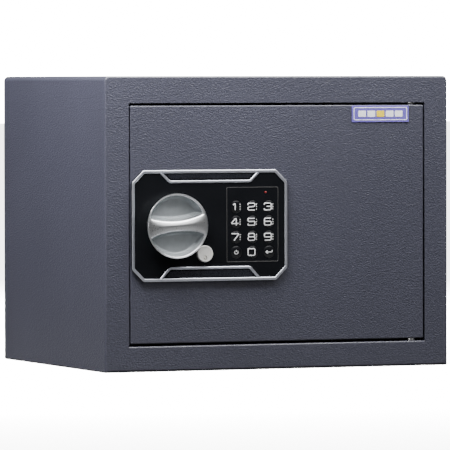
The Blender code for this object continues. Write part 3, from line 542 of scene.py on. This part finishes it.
def cabinet_wrap():
    """Folded body with its door opening, strike openings, pin bores and anchor holes."""
    through = 0.004
    made = cabinet_block()
    opening = cutter((-OPEN_X, FRONT - WALL, OPEN_LOW),
                     (OPEN_X, FRONT + STRIKE_DEPTH + WALL, OPEN_HIGH))
    boolean(made, [cabinet_hollow(), opening])
    eased(made, 0.0009, 4)
    cuts = [sill_cutter()]
    for at in map(middle, BOLTS):
        cuts.append(drill((-OPEN_X - WALL / 2, at.y, at.z), LEFTWARDS, STRIKE_R, -through, through))
    for z in (OPEN_LOW - WALL / 2, OPEN_HIGH + WALL / 2):
        cuts.append(drill((PIN_AT.x, PIN_AT.y, z), UPWARDS, PIN_BORE, -through, through))
    for x in (-ANCHOR_X, ANCHOR_X):
        cuts.append(drill((x, BASE_ANCHOR_Y, 0), UPWARDS, ANCHOR_R, -WALL, 2 * WALL))
    boolean(made, cuts)
    rides(flattened(made), "cabinet", "powder_coat", "cabinet_shell")


def rear_plate():
    """Welded rear wall with two anchor holes."""
    low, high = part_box("back_panel")
    shape = slab(low, high, 0.0045, 8, lambda e: along(e, 1))
    made = finished("rear_wall_plate", shape, LOOKS["powder_coat"])
    anchors = [drill((x, BACK, BACK_ANCHOR_Z), BACKWARDS, ANCHOR_R, -2 * WALL, WALL)
               for x in (-ANCHOR_X, ANCHOR_X)]
    boolean(made, anchors)
    rides(eased(made, 0.0003), "cabinet", "powder_coat", "back_panel")


def felt_mat():
    """Die-cut felt sheet on the cabinet's floor, with eased edges and two anchor holes."""
    low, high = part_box("floor_mat")
    made = finished("felt_floor_sheet", slab(low, high, 0.0006, 2), LOOKS["felt"])
    holes = [drill((x, BASE_ANCHOR_Y, 0), UPWARDS, ANCHOR_R + 0.001, 0, 4 * WALL)
             for x in (-ANCHOR_X, ANCHOR_X)]
    boolean(made, holes)
    rides(made, "cabinet", "felt", "floor_mat")


# ---------------------------------------------------------------- door
def door_panel():
    """Flat steel door with openings for the lock, grooves for the pins and four board posts."""
    panel = slab(DOOR[0], (DOOR[1].x, DOOR_BACK, DOOR[1].z))
    made = finished("flush_door_panel", panel, LOOKS["powder_coat"])
    cuts = [drill((at.x, FRONT, at.z), FORWARDS, bore, -0.005, WALL)
            for at, bore in ((KNOB_AT, KNOB_BORE), (CAP_AT, CAP_BORE))]
    low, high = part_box("keypad_board")
    room = 0.0005
    cuts.append(cutter((low.x - room, FRONT - WALL, low.z - room),
                       (high.x + room, DOOR_BACK + WALL, high.z + room)))
    for boss in ("hinge_boss_top", "hinge_boss_bottom"):
        low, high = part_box(boss)
        cuts.append(drill((PIN_AT.x, PIN_AT.y, 0), UPWARDS, PIN_GROOVE, low.z - 0.003,
                          high.z + 0.003))
    eased(made, 0.0013, 4)
    boolean(made, cuts)
    low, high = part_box("control_board")
    post_r, inset, root = 0.0025, 0.004, DOOR_BACK - 0.0005
    post = [(0, root), (post_r, root), (post_r, low.y - GAP), (0, low.y - GAP)]
    posts = [finished("post", lathe(post, (x, 0, z), BACKWARDS, 24))
             for x in (low.x + inset, high.x - inset) for z in (low.z + inset, high.z - inset)]
    boolean(made, posts, "UNION")
    rides(flattened(made), "door", "powder_coat", "door_plate")


def badge():
    """A plain violet plate: a pale outline round five bars, the middle one yellow."""
    low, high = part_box("badge")
    plate = finished("badge_plate", slab((low.x, low.y + 0.0002, low.z), high, 0.0006, 3,
                                         lambda e: along(e, 1)), LOOKS["badge_print"])
    rides(eased(plate, 0.00015), "door", "badge_print", "badge")
    front, back = low.y, low.y + 0.0003
    inset, half = 0.0022, 0.00035
    corners = [(low.x + inset, low.z + inset), (high.x - inset, low.z + inset),
               (high.x - inset, high.z - inset), (low.x + inset, high.z - inset)]
    line = ribbon(soften(corners, 0.0015, closed=True), half, front, back, 0.0001, closed=True)
    rides(finished("badge_outline", line, BADGE_PALE), "door", "silver_trim")
    centre, bars, pitch = (low + high) / 2, 5, 0.0103
    half_w, half_h = 0.0043, 0.0032
    for i in range(bars):
        x = centre.x + (i - (bars - 1) / 2) * pitch
        bar = slab((x - half_w, front, centre.z - half_h), (x + half_w, back, centre.z + half_h),
                   0.0009, 3, lambda e: along(e, 1))
        look = BADGE_GOLD if i == bars // 2 else BADGE_PALE
        made = finished(f"badge_bar_{i + 1}", bar, look)
        rides(eased(made, 0.0001), "door", "silver_trim")


# ---------------------------------------------------------------- fascia
def about_fascia(points):
    """Flat points measured from the fascia's centre, as (x, z)."""
    return [(FASCIA_AT.x + p.x, FASCIA_AT.z + p.y) for p in points]


def fascia_outline(inset):
    """The fascia's eight-sided outline, moved in by inset, with rounded vertices."""
    half_w = (FASCIA[1].x - FASCIA[0].x) / 2 - inset
    half_h = (FASCIA[1].z - FASCIA[0].z) / 2 - inset
    cut = FASCIA_CHAMFER - inset * (2 - math.sqrt(2))
    corners = [(half_w, half_h - cut), (half_w - cut, half_h), (cut - half_w, half_h),
               (-half_w, half_h - cut), (-half_w, cut - half_h), (cut - half_w, -half_h),
               (half_w - cut, -half_h), (half_w, cut - half_h)]
    return about_fascia(soften(corners, 0.004 - inset / 2, closed=True, steps=6))


def at_depth(outline, y):
    return [(x, y, z) for x, z in outline]


def bracket_path(end, start_rise, end_inset, shrink=0.0):
    """A bracket's corners from the fascia's centre, moved in by shrink at its slanting sides."""
    half_h = (FASCIA[1].z - FASCIA[0].z) / 2
    rise = TRAPEZOID_RISE[end]
    slope = (TRAPEZOID_OUTER - TRAPEZOID_INNER) / rise
    up = 1 if end == "upper" else -1
    (wide, high), (narrow, low) = [(TRAPEZOID_OUTER - slope * r - shrink * math.hypot(1, slope),
                                    up * (half_h - r)) for r in (start_rise, rise - end_inset)]
    return [(-wide, high), (-narrow, low), (narrow, low), (wide, high)]


def fascia():
    """Glossy octagonal panel with a rounded front edge and its bores."""
    edge, deep = 0.0006, 0.006
    loops = [at_depth(fascia_outline(0), FASCIA[1].y)]
    for angle in quarter(4):
        loops.append(at_depth(fascia_outline(edge * (1 - math.cos(angle))),
                              FASCIA_FRONT + edge * (1 - math.sin(angle))))
    made = finished("lock_fascia", loft(loops), LOOKS["black_gloss"])
    cuts = [drill((at.x, FRONT, at.z), FORWARDS, KEY_R + GAP, 0, deep, 48)
            for at in map(middle, KEYS)]
    cuts += [drill((at.x, FRONT, at.z), FORWARDS, bore, 0, deep)
             for at, bore in ((KNOB_AT, KNOB_BORE), (CAP_AT, CAP_BORE), (LED_AT, LED_BORE))]
    boolean(made, cuts)
    rides(flattened(made), "door", "black_gloss", "fascia")


def fascia_trim():
    """A domed silver ring, and two brackets with dark inlays that leave a fine crease to it."""
    base = FASCIA_FRONT
    section = [(0.0, base), (0.0, TRIM_FRONT + 0.0004), (0.0003, TRIM_FRONT + 0.0001),
               (0.0008, TRIM_FRONT), (TRIM_RING - 0.0008, TRIM_FRONT),
               (TRIM_RING - 0.0003, TRIM_FRONT + 0.0001), (TRIM_RING, TRIM_FRONT + 0.0004),
               (TRIM_RING, base)]
    loops = [at_depth(fascia_outline(inset), y) for inset, y in section]
    ring = finished("fascia_ring", loft(loops, closed=True), LOOKS["silver_trim"])
    rides(ring, "door", "silver_trim", "fascia_trim")
    crease, inlay_gap, inlay_inset = 0.0004, 0.0012, 0.0030
    for end in TRAPEZOID_RISE:
        path = soften(bracket_path(end, TRIM_RING + crease, 0.0), 0.0055, steps=8)
        strip = ribbon(about_fascia(path), TRIM_LINE / 2, TRIM_FRONT, base, 0.00045, ends=(1, 0))
        rides(finished("fascia_bracket_" + end, strip, LOOKS["silver_trim"]), "door",
              "silver_trim")
        outline = soften(bracket_path(end, TRIM_RING + inlay_gap, inlay_inset, inlay_inset),
                         0.0012, closed=True)
        shape = prism(about_fascia(outline), base - 0.00025, base + 0.0002)
        inlay = finished("fascia_inlay_" + end, shape, INLAY)
        rides(eased(inlay, 0.0001), "door", "black_gloss")


def keypad_outline():
    """The fine raised line round the keys."""
    low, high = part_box("keypad_board")
    margin = 0.0014
    corners = [(low.x - margin, low.z - margin), (high.x + margin, low.z - margin),
               (high.x + margin, high.z + margin), (low.x - margin, high.z + margin)]
    line = ribbon(soften(corners, 0.0012, closed=True), 0.00032, FASCIA_FRONT - 0.00018,
                  FASCIA_FRONT + 0.0001, 0.00012, closed=True)
    rides(finished("keypad_line", line, LINE_PRINT), "door", "black_gloss")


def status_lens():
    """Domed red lens of the status light."""
    low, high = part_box("status_led")
    radius, tip = high.x - LED_AT.x, FRONT - low.y
    dome = [(radius * math.sin(a), tip - radius * 0.5 * (1 - math.cos(a)))
            for a in quarter(6)]
    profile = dome + [(radius, FRONT - high.y), (0, FRONT - high.y)]
    shape = lathe(profile, (LED_AT.x, FRONT, LED_AT.z), FORWARDS, 24)
    rides(finished("status_lens", shape, LOOKS["red_lens"]), "door", "red_lens", "status_led")


# ---------------------------------------------------------------- keys
def dome_height(radius):
    """How far a key's crown stands out of the door at a distance from its centre."""
    return KEY_TOP - KEY_DOME * (radius / KEY_SHOULDER) ** 2


# Strokes of each sign in a box from -1 to 1: lists of (x, z) points, closed where marked.
SIGNS = {
    "key_1": [([(-0.55, 0.55), (0.05, 1.0), (0.05, -1.0)], False)],
    "key_2": [([(-1, 0.45), (-1, 1), (1, 1), (1, 0.08), (-1, -0.1), (-1, -1), (1, -1)], False)],
    "key_3": [([(-1, 0.5), (-1, 1), (1, 1), (1, -1), (-1, -1), (-1, -0.5)], False),
              ([(-0.35, 0.02), (0.98, 0.02)], False)],
    "key_4": [([(0.35, -1), (0.35, 1), (0.1, 1), (-1, -0.25), (-1, -0.45), (1, -0.45)], False)],
    "key_5": [([(0.95, 1), (-1, 1), (-1, 0.12), (1, 0.12), (1, -1), (-1, -1), (-1, -0.55)],
               False)],
    "key_6": [([(0.9, 1), (-1, 1), (-1, -1), (1, -1), (1, 0.08), (0.4, 0.08)], False),
              ([(0.6, 0.08), (-0.98, 0.08)], False)],
    "key_7": [([(-1, 1), (1, 1), (1, 0.8), (-0.3, -1)], False)],
    "key_8": [([(-0.9, 1), (0.9, 1), (0.9, 0.06), (-0.9, 0.06)], True),
              ([(-1, 0.06), (1, 0.06), (1, -1), (-1, -1)], True)],
    "key_9": [([(-0.9, -1), (1, -1), (1, 1), (-1, 1), (-1, -0.06), (-0.4, -0.06)], False),
              ([(-0.6, -0.06), (0.98, -0.06)], False)],
    "key_0": [([(-1, 1), (1, 1), (1, -1), (-1, -1)], True)],
}
DIGIT_BENDS = {"key_1": 0.0004, "key_4": 0.0004, "key_7": 0.0004, "key_5": 0.0008}


def evenly(path, spacing, closed=False):
    """Adds points so that no side of a path is longer than spacing."""
    path = [Vector(p) for p in path]
    ends = path[1:] + ([path[0]] if closed else [])
    made = []
    for start, end in zip(path, ends):
        count = max(1, math.ceil((end - start).length / spacing))
        made += [start.lerp(end, k / count) for k in range(count)]
    return made if closed else made + [path[-1]]


def stroke(points, half_width, bend, closed=False):
    """One stroke of a sign as a thin flat strip, ready to be joined and laid on a key."""
    path = evenly(soften(points, bend, closed, 4), 0.0007, closed)
    strip = ribbon(path, half_width, -PRINT_HALF, PRINT_HALF, closed=closed)
    return finished("stroke", strip)


def laid_on_key(made, centre):
    """Moves a flat sign to its key and bends it to the key's crown, a hair proud of it."""
    for vertex in made.data.vertices:
        out = dome_height(math.hypot(vertex.co.x, vertex.co.z))
        vertex.co = (centre.x + vertex.co.x, FRONT - out + vertex.co.y - 0.00002,
                     centre.z + vertex.co.z)
    return shaded(made, 60)


def sign_strokes(key):
    """The key's sign, centred on its own middle: a digit with side marks, or an icon."""
    if key == "key_on":
        radius, opening = 0.0019, 40
        arc = [(radius * math.sin(a), radius * math.cos(a))
               for a in [math.radians(opening + (360 - 2 * opening) * k / 20) for k in range(21)]]
        return [stroke(arc, ICON_HALF, 0.0001),
                stroke([(0, 0.0024), (0, 0.0004)], ICON_HALF, 0.0001)]
    if key == "key_enter":
        shaft = [(0.0034, 0.0017), (0.0034, -0.0002), (-0.0032, -0.0002)]
        head = [(-0.0016, 0.0014), (-0.0036, -0.0002), (-0.0016, -0.0018)]
        return [stroke(shaft, MARK_HALF, 0.0005), stroke(head, MARK_HALF, 0.0001)]
    half_w, half_h, side = 0.0037, 0.0035, -0.0013
    bend = DIGIT_BENDS.get(key, 0.0014)
    return [stroke([(side + x * half_w, z * half_h) for x, z in points], DIGIT_HALF, bend, closed)
            for points, closed in SIGNS[key]]


def side_marks():
    """Three short upright dashes at the right of a digit."""
    x, half, pitch = 0.0043, 0.0007, 0.0024
    return [stroke([(x, z - half), (x, z + half)], MARK_HALF, 0.0001) for z in (-pitch, 0.0, pitch)]


def keypad_keys():
    """Crowned key caps with a flange behind the fascia, and the signs printed on them."""
    for key in KEYS:
        low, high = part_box(key)
        at = (low + high) / 2
        crown = [(r, dome_height(r)) for r in [KEY_SHOULDER * k / 6 for k in range(7)]]
        shoulder = [(KEY_SHOULDER + 0.00025, 0.0034), (KEY_R - 0.00004, 0.0032), (KEY_R, 0.0029)]
        foot = [(KEY_R, 0.0), (KEY_FLANGE, 0.0), (KEY_FLANGE, KEY_FOOT), (0, KEY_FOOT)]
        shape = lathe(crown + shoulder + foot, (at.x, FRONT, at.z), FORWARDS, 48)
        cap = finished("crowned_" + key, shape, KEY_GLOSS)
        rides(cap, key, "black_gloss", key)
        strokes = sign_strokes(key)
        sign = strokes[0]
        if len(strokes) > 1:
            boolean(sign, strokes[1:], "UNION")
        sign.name = "sign_of_" + key
        sign.data.materials.clear()
        sign.data.materials.append(WHITE_PRINT)
        rides(laid_on_key(sign, at), key, "cream_plastic")
        if key in SIGNS and key != "key_0":
            for i, mark in enumerate(side_marks(), 1):
                mark.name = f"side_mark_{i}_of_{key}"
                mark.data.materials.append(WHITE_PRINT)
                rides(laid_on_key(mark, at), key, "cream_plastic")


# ---------------------------------------------------------------- knob and cap
def soft_min(a, b, blend):
    """The smaller of two lengths, rounded where they are alike."""
    return (a + b - math.sqrt((a - b) ** 2 + blend ** 2)) / 2


def grip_half(share):
    """Half the waisted grip bar's width, at a share of the way out along it."""
    return 0.0052 + 0.0050 * share ** 2


def pocket_depth(x, z):
    """How deep the two pockets are at a point of the knob's face: 0 on the bar, 1 on a floor."""
    reach = 0.0050
    half = grip_half(min(1.0, abs(x) / KNOB_RIM))
    away = soft_min(KNOB_RIM - math.hypot(x, z), abs(z) - half, 0.0018)
    inside = (away + math.sqrt(away ** 2 + 0.0006 ** 2)) / 2
    return 1 - (1 - min(1.0, inside / reach)) ** 2.2


def knob_height(x, z):
    """Height of the knob's front over its pockets, rim and crowned grip bar."""
    share = min(1.0, abs(x) / KNOB_RIM)
    crown = 0.0020 * (1 - share ** 2.5) * min(1.0, abs(z) / grip_half(share)) ** 2
    outside = max(0.0, (math.hypot(x, z) - KNOB_R + 0.0012) / 0.0012)
    ridge = KNOB_TOP - crown - 0.0009 * outside ** 2
    return ridge - (ridge - POCKET_FLOOR) * pocket_depth(x, z)


def turning_knob():
    """The knob: a fine polar net raised to its front's shape, then its side and its bores."""
    around, steps = 216, 84
    radii = [KNOB_EYE + (KNOB_R - KNOB_EYE) * (k / steps) ** 0.92 for k in range(steps + 1)]
    shape = bmesh.new()
    cos_tilt, sin_tilt = math.cos(GRIP_TILT), math.sin(GRIP_TILT)

    def point(distance, angle, height=None):
        x, z = distance * math.cos(angle), distance * math.sin(angle)
        height = knob_height(x, z) if height is None else height
        return (KNOB_AT.x + x * cos_tilt - z * sin_tilt, FRONT - height,
                KNOB_AT.z + x * sin_tilt + z * cos_tilt)

    angles = [2 * math.pi * i / around for i in range(around)]
    rings = [[shape.verts.new(point(r, a)) for a in angles] for r in radii]
    side = [(KNOB_R, 0.0164), (0.0329, 0.0156), (0.0325, 0.0150), (0.0295, 0.0082),
            (0.0290, 0.0072), (0.0274, 0.0040), (0.0272, 0.0036)]
    rings += [[shape.verts.new(point(r, a, h)) for a in angles] for r, h in side]
    for k, (lower, upper) in enumerate(zip(rings, rings[1:])):
        for i, angle in enumerate(angles):
            j = (i + 1) % around
            face = shape.faces.new((lower[i], lower[j], upper[j], upper[i]))
            distance = radii[min(k, steps)]
            depth = pocket_depth(distance * math.cos(angle), distance * math.sin(angle))
            face.material_index = int(k > steps + 2 or depth > 0.3)
    shape.faces.new(rings[0])
    shape.faces.new(rings[-1])
    made = finished("turning_knob", shape, LOOKS["satin_chrome"], SANDBLASTED)
    bores = [drill((KNOB_AT.x, FRONT, KNOB_AT.z), FORWARDS, 0.0053, 0, 0.0056),
             drill((KNOB_AT.x, FRONT, KNOB_AT.z), FORWARDS, 0.0028, 0.004, 0.0125, 24)]
    boolean(made, bores)
    rides(shaded(made, KNOB_SHARP_ANGLE), "knob", "satin_chrome", "knob")


def keyhole_cap():
    """Cream cover of the emergency keyhole: a raised rim and an arched fingernail notch."""
    low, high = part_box("emergency_cap")
    radius, back, front = high.x - CAP_AT.x, FRONT - high.y, FRONT - low.y
    face = front - 0.0003
    profile = [(0, face), (radius - 0.0019, face), (radius - 0.0015, front - 0.0001),
               (radius - 0.0012, front), (radius - 0.0007, front), (radius - 0.0002, front - 0.0002),
               (radius, front - 0.0008), (radius, back), (0, back)]
    made = finished("keyhole_cap", lathe(profile, (CAP_AT.x, FRONT, CAP_AT.z), FORWARDS, 64),
                    LOOKS["cream_plastic"])
    half, foot, shoulder = 0.0019, -0.0062, -0.0036
    arch = [(half, foot), *[(half * math.cos(a), shoulder + half * math.sin(a))
                            for a in [math.pi * k / 12 for k in range(13)]], (-half, foot)]
    arch = [(CAP_AT.x + x, CAP_AT.z + z) for x, z in arch]
    notch = finished("notch", prism(arch, FRONT - front - 0.001, FRONT - face + 0.0015))
    post = finished("post", lathe([(0, 0.001), (0.0009, 0.001), (0.0009, 0.008), (0, 0.008)],
                                  (CAP_AT.x, FRONT, CAP_AT.z + shoulder - 0.0006), FORWARDS, 20))
    boolean(notch, [post])
    boolean(made, [notch])
    rides(eased(made, 0.00012), "cap", "cream_plastic", "emergency_cap")


# ---------------------------------------------------------------- inside of the door
def lock_cover():
    """Folded sheet box over the lock work, with its screw flanges and cut-outs."""
    low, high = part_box("lock_cover")
    sheet, fold, flange = 0.0012, 0.0022, 0.012
    box_low, box_high = low.z + flange, high.z - flange
    shape = slab((low.x, low.y, box_low), (high.x, high.y, box_high), fold, 5,
                 lambda e: not (e.verts[0].co.y < low.y + WALL and e.verts[1].co.y < low.y + WALL))
    made = finished("folded_lock_cover", shape, LOOKS["powder_coat"])
    flanges = [cutter((low.x, low.y, z), (high.x, low.y + sheet, z + flange + 0.0006))
               for z in (low.z, box_high - 0.0006)]
    boolean(made, flanges, "UNION")
    hollow = finished("hollow", slab(
        (low.x + sheet, low.y - WALL, box_low + sheet),
        (high.x - sheet, high.y - sheet, box_high - sheet), fold - sheet, 3,
        lambda e: not (e.verts[0].co.y < low.y and e.verts[1].co.y < low.y)))
    lid_low, lid_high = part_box("battery_lid")
    reset = middle("reset_button")
    cuts = [hollow, cutter((lid_low.x + LID_RIM, high.y - 0.004, lid_low.z + LID_RIM),
                           (lid_high.x - LID_RIM, high.y + WALL, lid_high.z - LID_RIM)),
            drill((reset.x, high.y, reset.z), BACKWARDS, 0.0034, -0.003, 0.002)]
    for at in map(middle, BOLTS):
        cuts.append(drill((low.x, at.y, at.z), LEFTWARDS, BOLT_BORE, -0.0025, 0.0025))
    for at in map(middle, SCREWS):
        cuts.append(drill((at.x, DOOR_BACK, at.z), BACKWARDS, 0.002, -0.001, 0.003, 24))
    boolean(made, cuts)
    rides(eased(made, 0.00025), "door", "powder_coat", "lock_cover")


def cover_screws():
    """Pan-head screws with a cross recess."""
    for screw in SCREWS:
        low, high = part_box(screw)
        at = (low + high) / 2
        head, rise, radius, shank = high.y, 0.0022, 0.0036, 0.0017
        base = head - rise
        crown = [(radius * math.sin(a), head - rise * (1 - math.cos(a)) * 0.8)
                 for a in quarter(8)]
        profile = crown + [(radius, base), (shank, base), (shank, low.y), (0, low.y)]
        made = finished("pan_" + screw, lathe(profile, (at.x, 0, at.z), BACKWARDS, 32),
                        LOOKS["zinc"])
        long, thin, depth = 0.0019, 0.00035, 0.0012
        cross = [cutter((at.x - a, head - depth, at.z - b), (at.x + a, head + depth, at.z + b))
                 for a, b in ((long, thin), (thin, long))]
        boolean(made, cross)
        rides(made, "door", "zinc", screw)


def battery_cover():
    """Battery lid with a finger scoop and four grip ribs."""
    low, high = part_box("battery_lid")
    thick, face = 0.0016, high.y
    boss_rim = LID_RIM + 0.0008
    plate = slab((low.x, face - thick, low.z), (high.x, face - 0.0004, high.z), 0.002, 4,
                 lambda e: along(e, 1))
    made = finished("ribbed_battery_lid", plate, LOOKS["black_matt"])
    boss = cutter((low.x + boss_rim, low.y, low.z + boss_rim),
                  (high.x - boss_rim, face - thick + 0.0004, high.z - boss_rim))
    centre, rib_half, rib_pitch = (low.x + high.x) / 2, 0.009, 0.0024
    ribs = [cutter((centre - rib_half, face - 0.0008, high.z - 0.009 - rib_pitch * i),
                   (centre + rib_half, face, high.z - 0.0079 - rib_pitch * i)) for i in range(4)]
    boolean(made, [boss, *ribs], "UNION")
    scoop = finished("scoop", lathe([(0, -0.0012), (0.0055, 0.0002), (0.0075, 0.003), (0, 0.003)],
                                    (centre, face - 0.0004, high.z - 0.003), BACKWARDS, 40))
    boolean(made, [scoop])
    rides(eased(made, 0.0002), "lid", "black_matt", "battery_lid")


def reset_button():
    """Round button with a collar and a stem down to the board."""
    low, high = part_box("reset_button")
    at, tip = (low + high) / 2, high.y
    button, collar, stem = 0.0030, 0.0042, 0.0015
    collar_top, collar_low = tip - 0.0029, tip - 0.0044
    profile = soften([(0, tip), (button, tip), (button, collar_top), (collar, collar_top),
                      (collar, collar_low), (stem, collar_low), (stem, low.y), (0, low.y)], 0.0006)
    made = finished("rounded_reset_button", lathe(profile, (at.x, 0, at.z), BACKWARDS, 32),
                    LOOKS["red_plastic"])
    rides(made, "reset", "red_plastic", "reset_button")


def bolts():
    """Ground steel bolts with a rounded nose and a turned tail that is riveted to the carriage."""
    tail_length, tail_r = 0.0043, 0.004
    for bolt in BOLTS:
        low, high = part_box(bolt)
        at, radius = (low + high) / 2, (high.z - low.z) / 2
        length = high.x - low.x
        profile = soften([(0, length), (radius, length), (radius, tail_length),
                          (tail_r, tail_length), (tail_r, 0), (0, 0)], 0.0016, steps=5)
        made = finished("round_" + bolt,
                        lathe(profile, (high.x, at.y, at.z), LEFTWARDS, 48),
                        LOOKS["bright_steel"])
        rides(made, "bolts", "bright_steel", bolt)


def hinge_bosses():
    """Blocks welded to the door that hold the hinge pins."""
    for end in ("top", "bottom"):
        node = "hinge_boss_" + end
        low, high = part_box(node)
        made = finished("welded_" + node, slab(low, high, 0.0010, 4), LOOKS["zinc"])
        groove = drill((PIN_AT.x, PIN_AT.y, 0), UPWARDS, PIN_GROOVE, low.z - WALL, high.z + WALL)
        rides(boolean(made, [groove]), "door", "zinc", node)


def carried_over():
    """Gives the frame's own parts, which stay as they are, the finish of their slot."""
    for subpart in frame["record"]["subparts"]:
        node = frame["nodes"][subpart["node"]]
        node.data.materials.clear()
        node.data.materials.append(LOOKS[subpart["material_slot"]])
        shaded(node, 30)


# ---------------------------------------------------------------- studio
def floor():
    """A pale floor that shows near white, with a soft shadow, and bounces little light back."""
    shape = bmesh.new()
    bmesh.ops.create_grid(shape, x_segments=60, y_segments=60, size=30.0)
    look = Look("pale_studio_floor", Roughness=0.6)
    drift = look.noise(0.6, 2.0)
    look.set("Base Color", look.ramp(drift, (0.3, grey(0.05)), (0.7, grey(0.06))))
    rays = look.node("LightPath").outputs
    shown = look.node("BsdfDiffuse", {"Color": (5.0, 5.0, 5.0, 1)})
    glow = look.node("Emission", {"Strength": 3.0})
    shown = look.node("AddShader", {0: shown.outputs[0], 1: glow.outputs[0]})
    dim = look.node("BsdfDiffuse", {"Color": (0.04, 0.04, 0.045, 1)})
    others = look.node("MixShader", {0: rays["Is Diffuse Ray"], 1: look.shader.outputs[0],
                                     2: dim.outputs[0]})
    mix = look.node("MixShader", {0: rays["Is Camera Ray"], 1: others.outputs[0],
                                  2: shown.outputs[0]})
    look.tree.links.new(mix.outputs[0], look.tree.nodes["Material Output"].inputs["Surface"])
    made = finished("studio_floor", shape, look.material)
    made.location.z = -0.0002


def area_light(name, place, target, wide, high, power, mirrored=True):
    """A lamp of watts power, hidden from the camera and, unless mirrored, from reflections."""
    light = bpy.data.lights.new(name, "AREA")
    light.shape, light.size, light.size_y, light.energy = "RECTANGLE", wide, high, power
    made = bpy.data.objects.new(name, light)
    made.visible_camera = False
    made.visible_glossy = mirrored
    made.location = place
    made.rotation_euler = (Vector(target) - Vector(place)).to_track_quat("-Z", "Y").to_euler()
    bpy.context.scene.collection.objects.link(made)


def surroundings():
    """A white backdrop for the camera, and a sky that is bright overhead and dim near the horizon."""
    world = bpy.data.worlds.new("studio")
    bpy.context.scene.world = world
    world.use_nodes = True
    tree = world.node_tree
    lit = tree.nodes["Background"]
    direction = tree.nodes.new("ShaderNodeTexCoord").outputs["Generated"]
    split = tree.nodes.new("ShaderNodeSeparateXYZ")
    tree.links.new(direction, split.inputs[0])
    ramp = tree.nodes.new("ShaderNodeValToRGB")
    tree.links.new(split.outputs["Z"], ramp.inputs["Fac"])
    stops = ((0.0, 0.03), (0.15, 0.05), (0.50, 0.55), (1.0, 1.0))
    while len(ramp.color_ramp.elements) < len(stops):
        ramp.color_ramp.elements.new(0.5)
    for element, (position, value) in zip(ramp.color_ramp.elements, stops):
        element.position, element.color = position, (*grey(value), 1)
    tree.links.new(ramp.outputs["Color"], lit.inputs["Color"])
    lit.inputs["Strength"].default_value = 0.45
    backdrop = tree.nodes.new("ShaderNodeBackground")
    backdrop.inputs["Strength"].default_value = 30.0
    path = tree.nodes.new("ShaderNodeLightPath")
    mix = tree.nodes.new("ShaderNodeMixShader")
    tree.links.new(path.outputs["Is Camera Ray"], mix.inputs[0])
    tree.links.new(lit.outputs[0], mix.inputs[1])
    tree.links.new(backdrop.outputs[0], mix.inputs[2])
    tree.links.new(mix.outputs[0], tree.nodes["World Output"].inputs["Surface"])


def camera():
    """Far to the front left at the height of the safe's top, with a long lens."""
    place, heading, dip, roll = (-2.0612, -5.0522, 0.2940), 22.215, 1.578, -0.1055
    data = bpy.data.cameras.new("camera")
    data.lens, data.sensor_width, data.clip_end = 415.87, 36.0, 50.0
    made = bpy.data.objects.new("camera", data)
    turn = Matrix.Rotation(math.radians(-heading), 4, "Z") @ Matrix.Rotation(
        math.radians(90 - dip), 4, "X") @ Matrix.Rotation(math.radians(roll), 4, "Z")
    made.matrix_world = Matrix.Translation(place) @ turn
    bpy.context.scene.collection.objects.link(made)
    bpy.context.scene.camera = made


camera()
surroundings()
floor()
area_light("key_light", (-0.06, -0.40, 0.60), (-0.05, -0.15, 0.17), 1.2, 0.10, 5)
area_light("top_light", (-0.02, -0.30, 0.90), (-0.02, -0.17, 0.15), 1.2, 0.30, 13)
area_light("front_light", (0.5, -1.65, 1.15), (-0.05, -0.15, 0.15), 1.0, 0.9, 5.5)
area_light("side_light", (-0.50, -0.12, 0.66), (-0.19, 0.0, 0.18), 0.8, 0.20, 17, mirrored=False)
area_light("edge_light", (-1.1, -1.3, 0.35), (-0.19, -0.15, 0.2), 0.10, 0.8, 2)
area_light("back_light", (0.5, 1.4, 1.1), (0, 0.15, 0.15), 1.4, 0.8, 45, mirrored=False)
area_light("right_light", (1.4, -0.1, 0.9), (0.19, 0, 0.15), 1.0, 0.6, 20, mirrored=False)

carried_over()
cabinet_wrap()
rear_plate()
felt_mat()
door_panel()
badge()
fascia()
fascia_trim()
keypad_outline()
status_lens()
keypad_keys()
turning_knob()
keyhole_cap()
lock_cover()
cover_screws()
battery_cover()
reset_button()
bolts()
hinge_bosses()
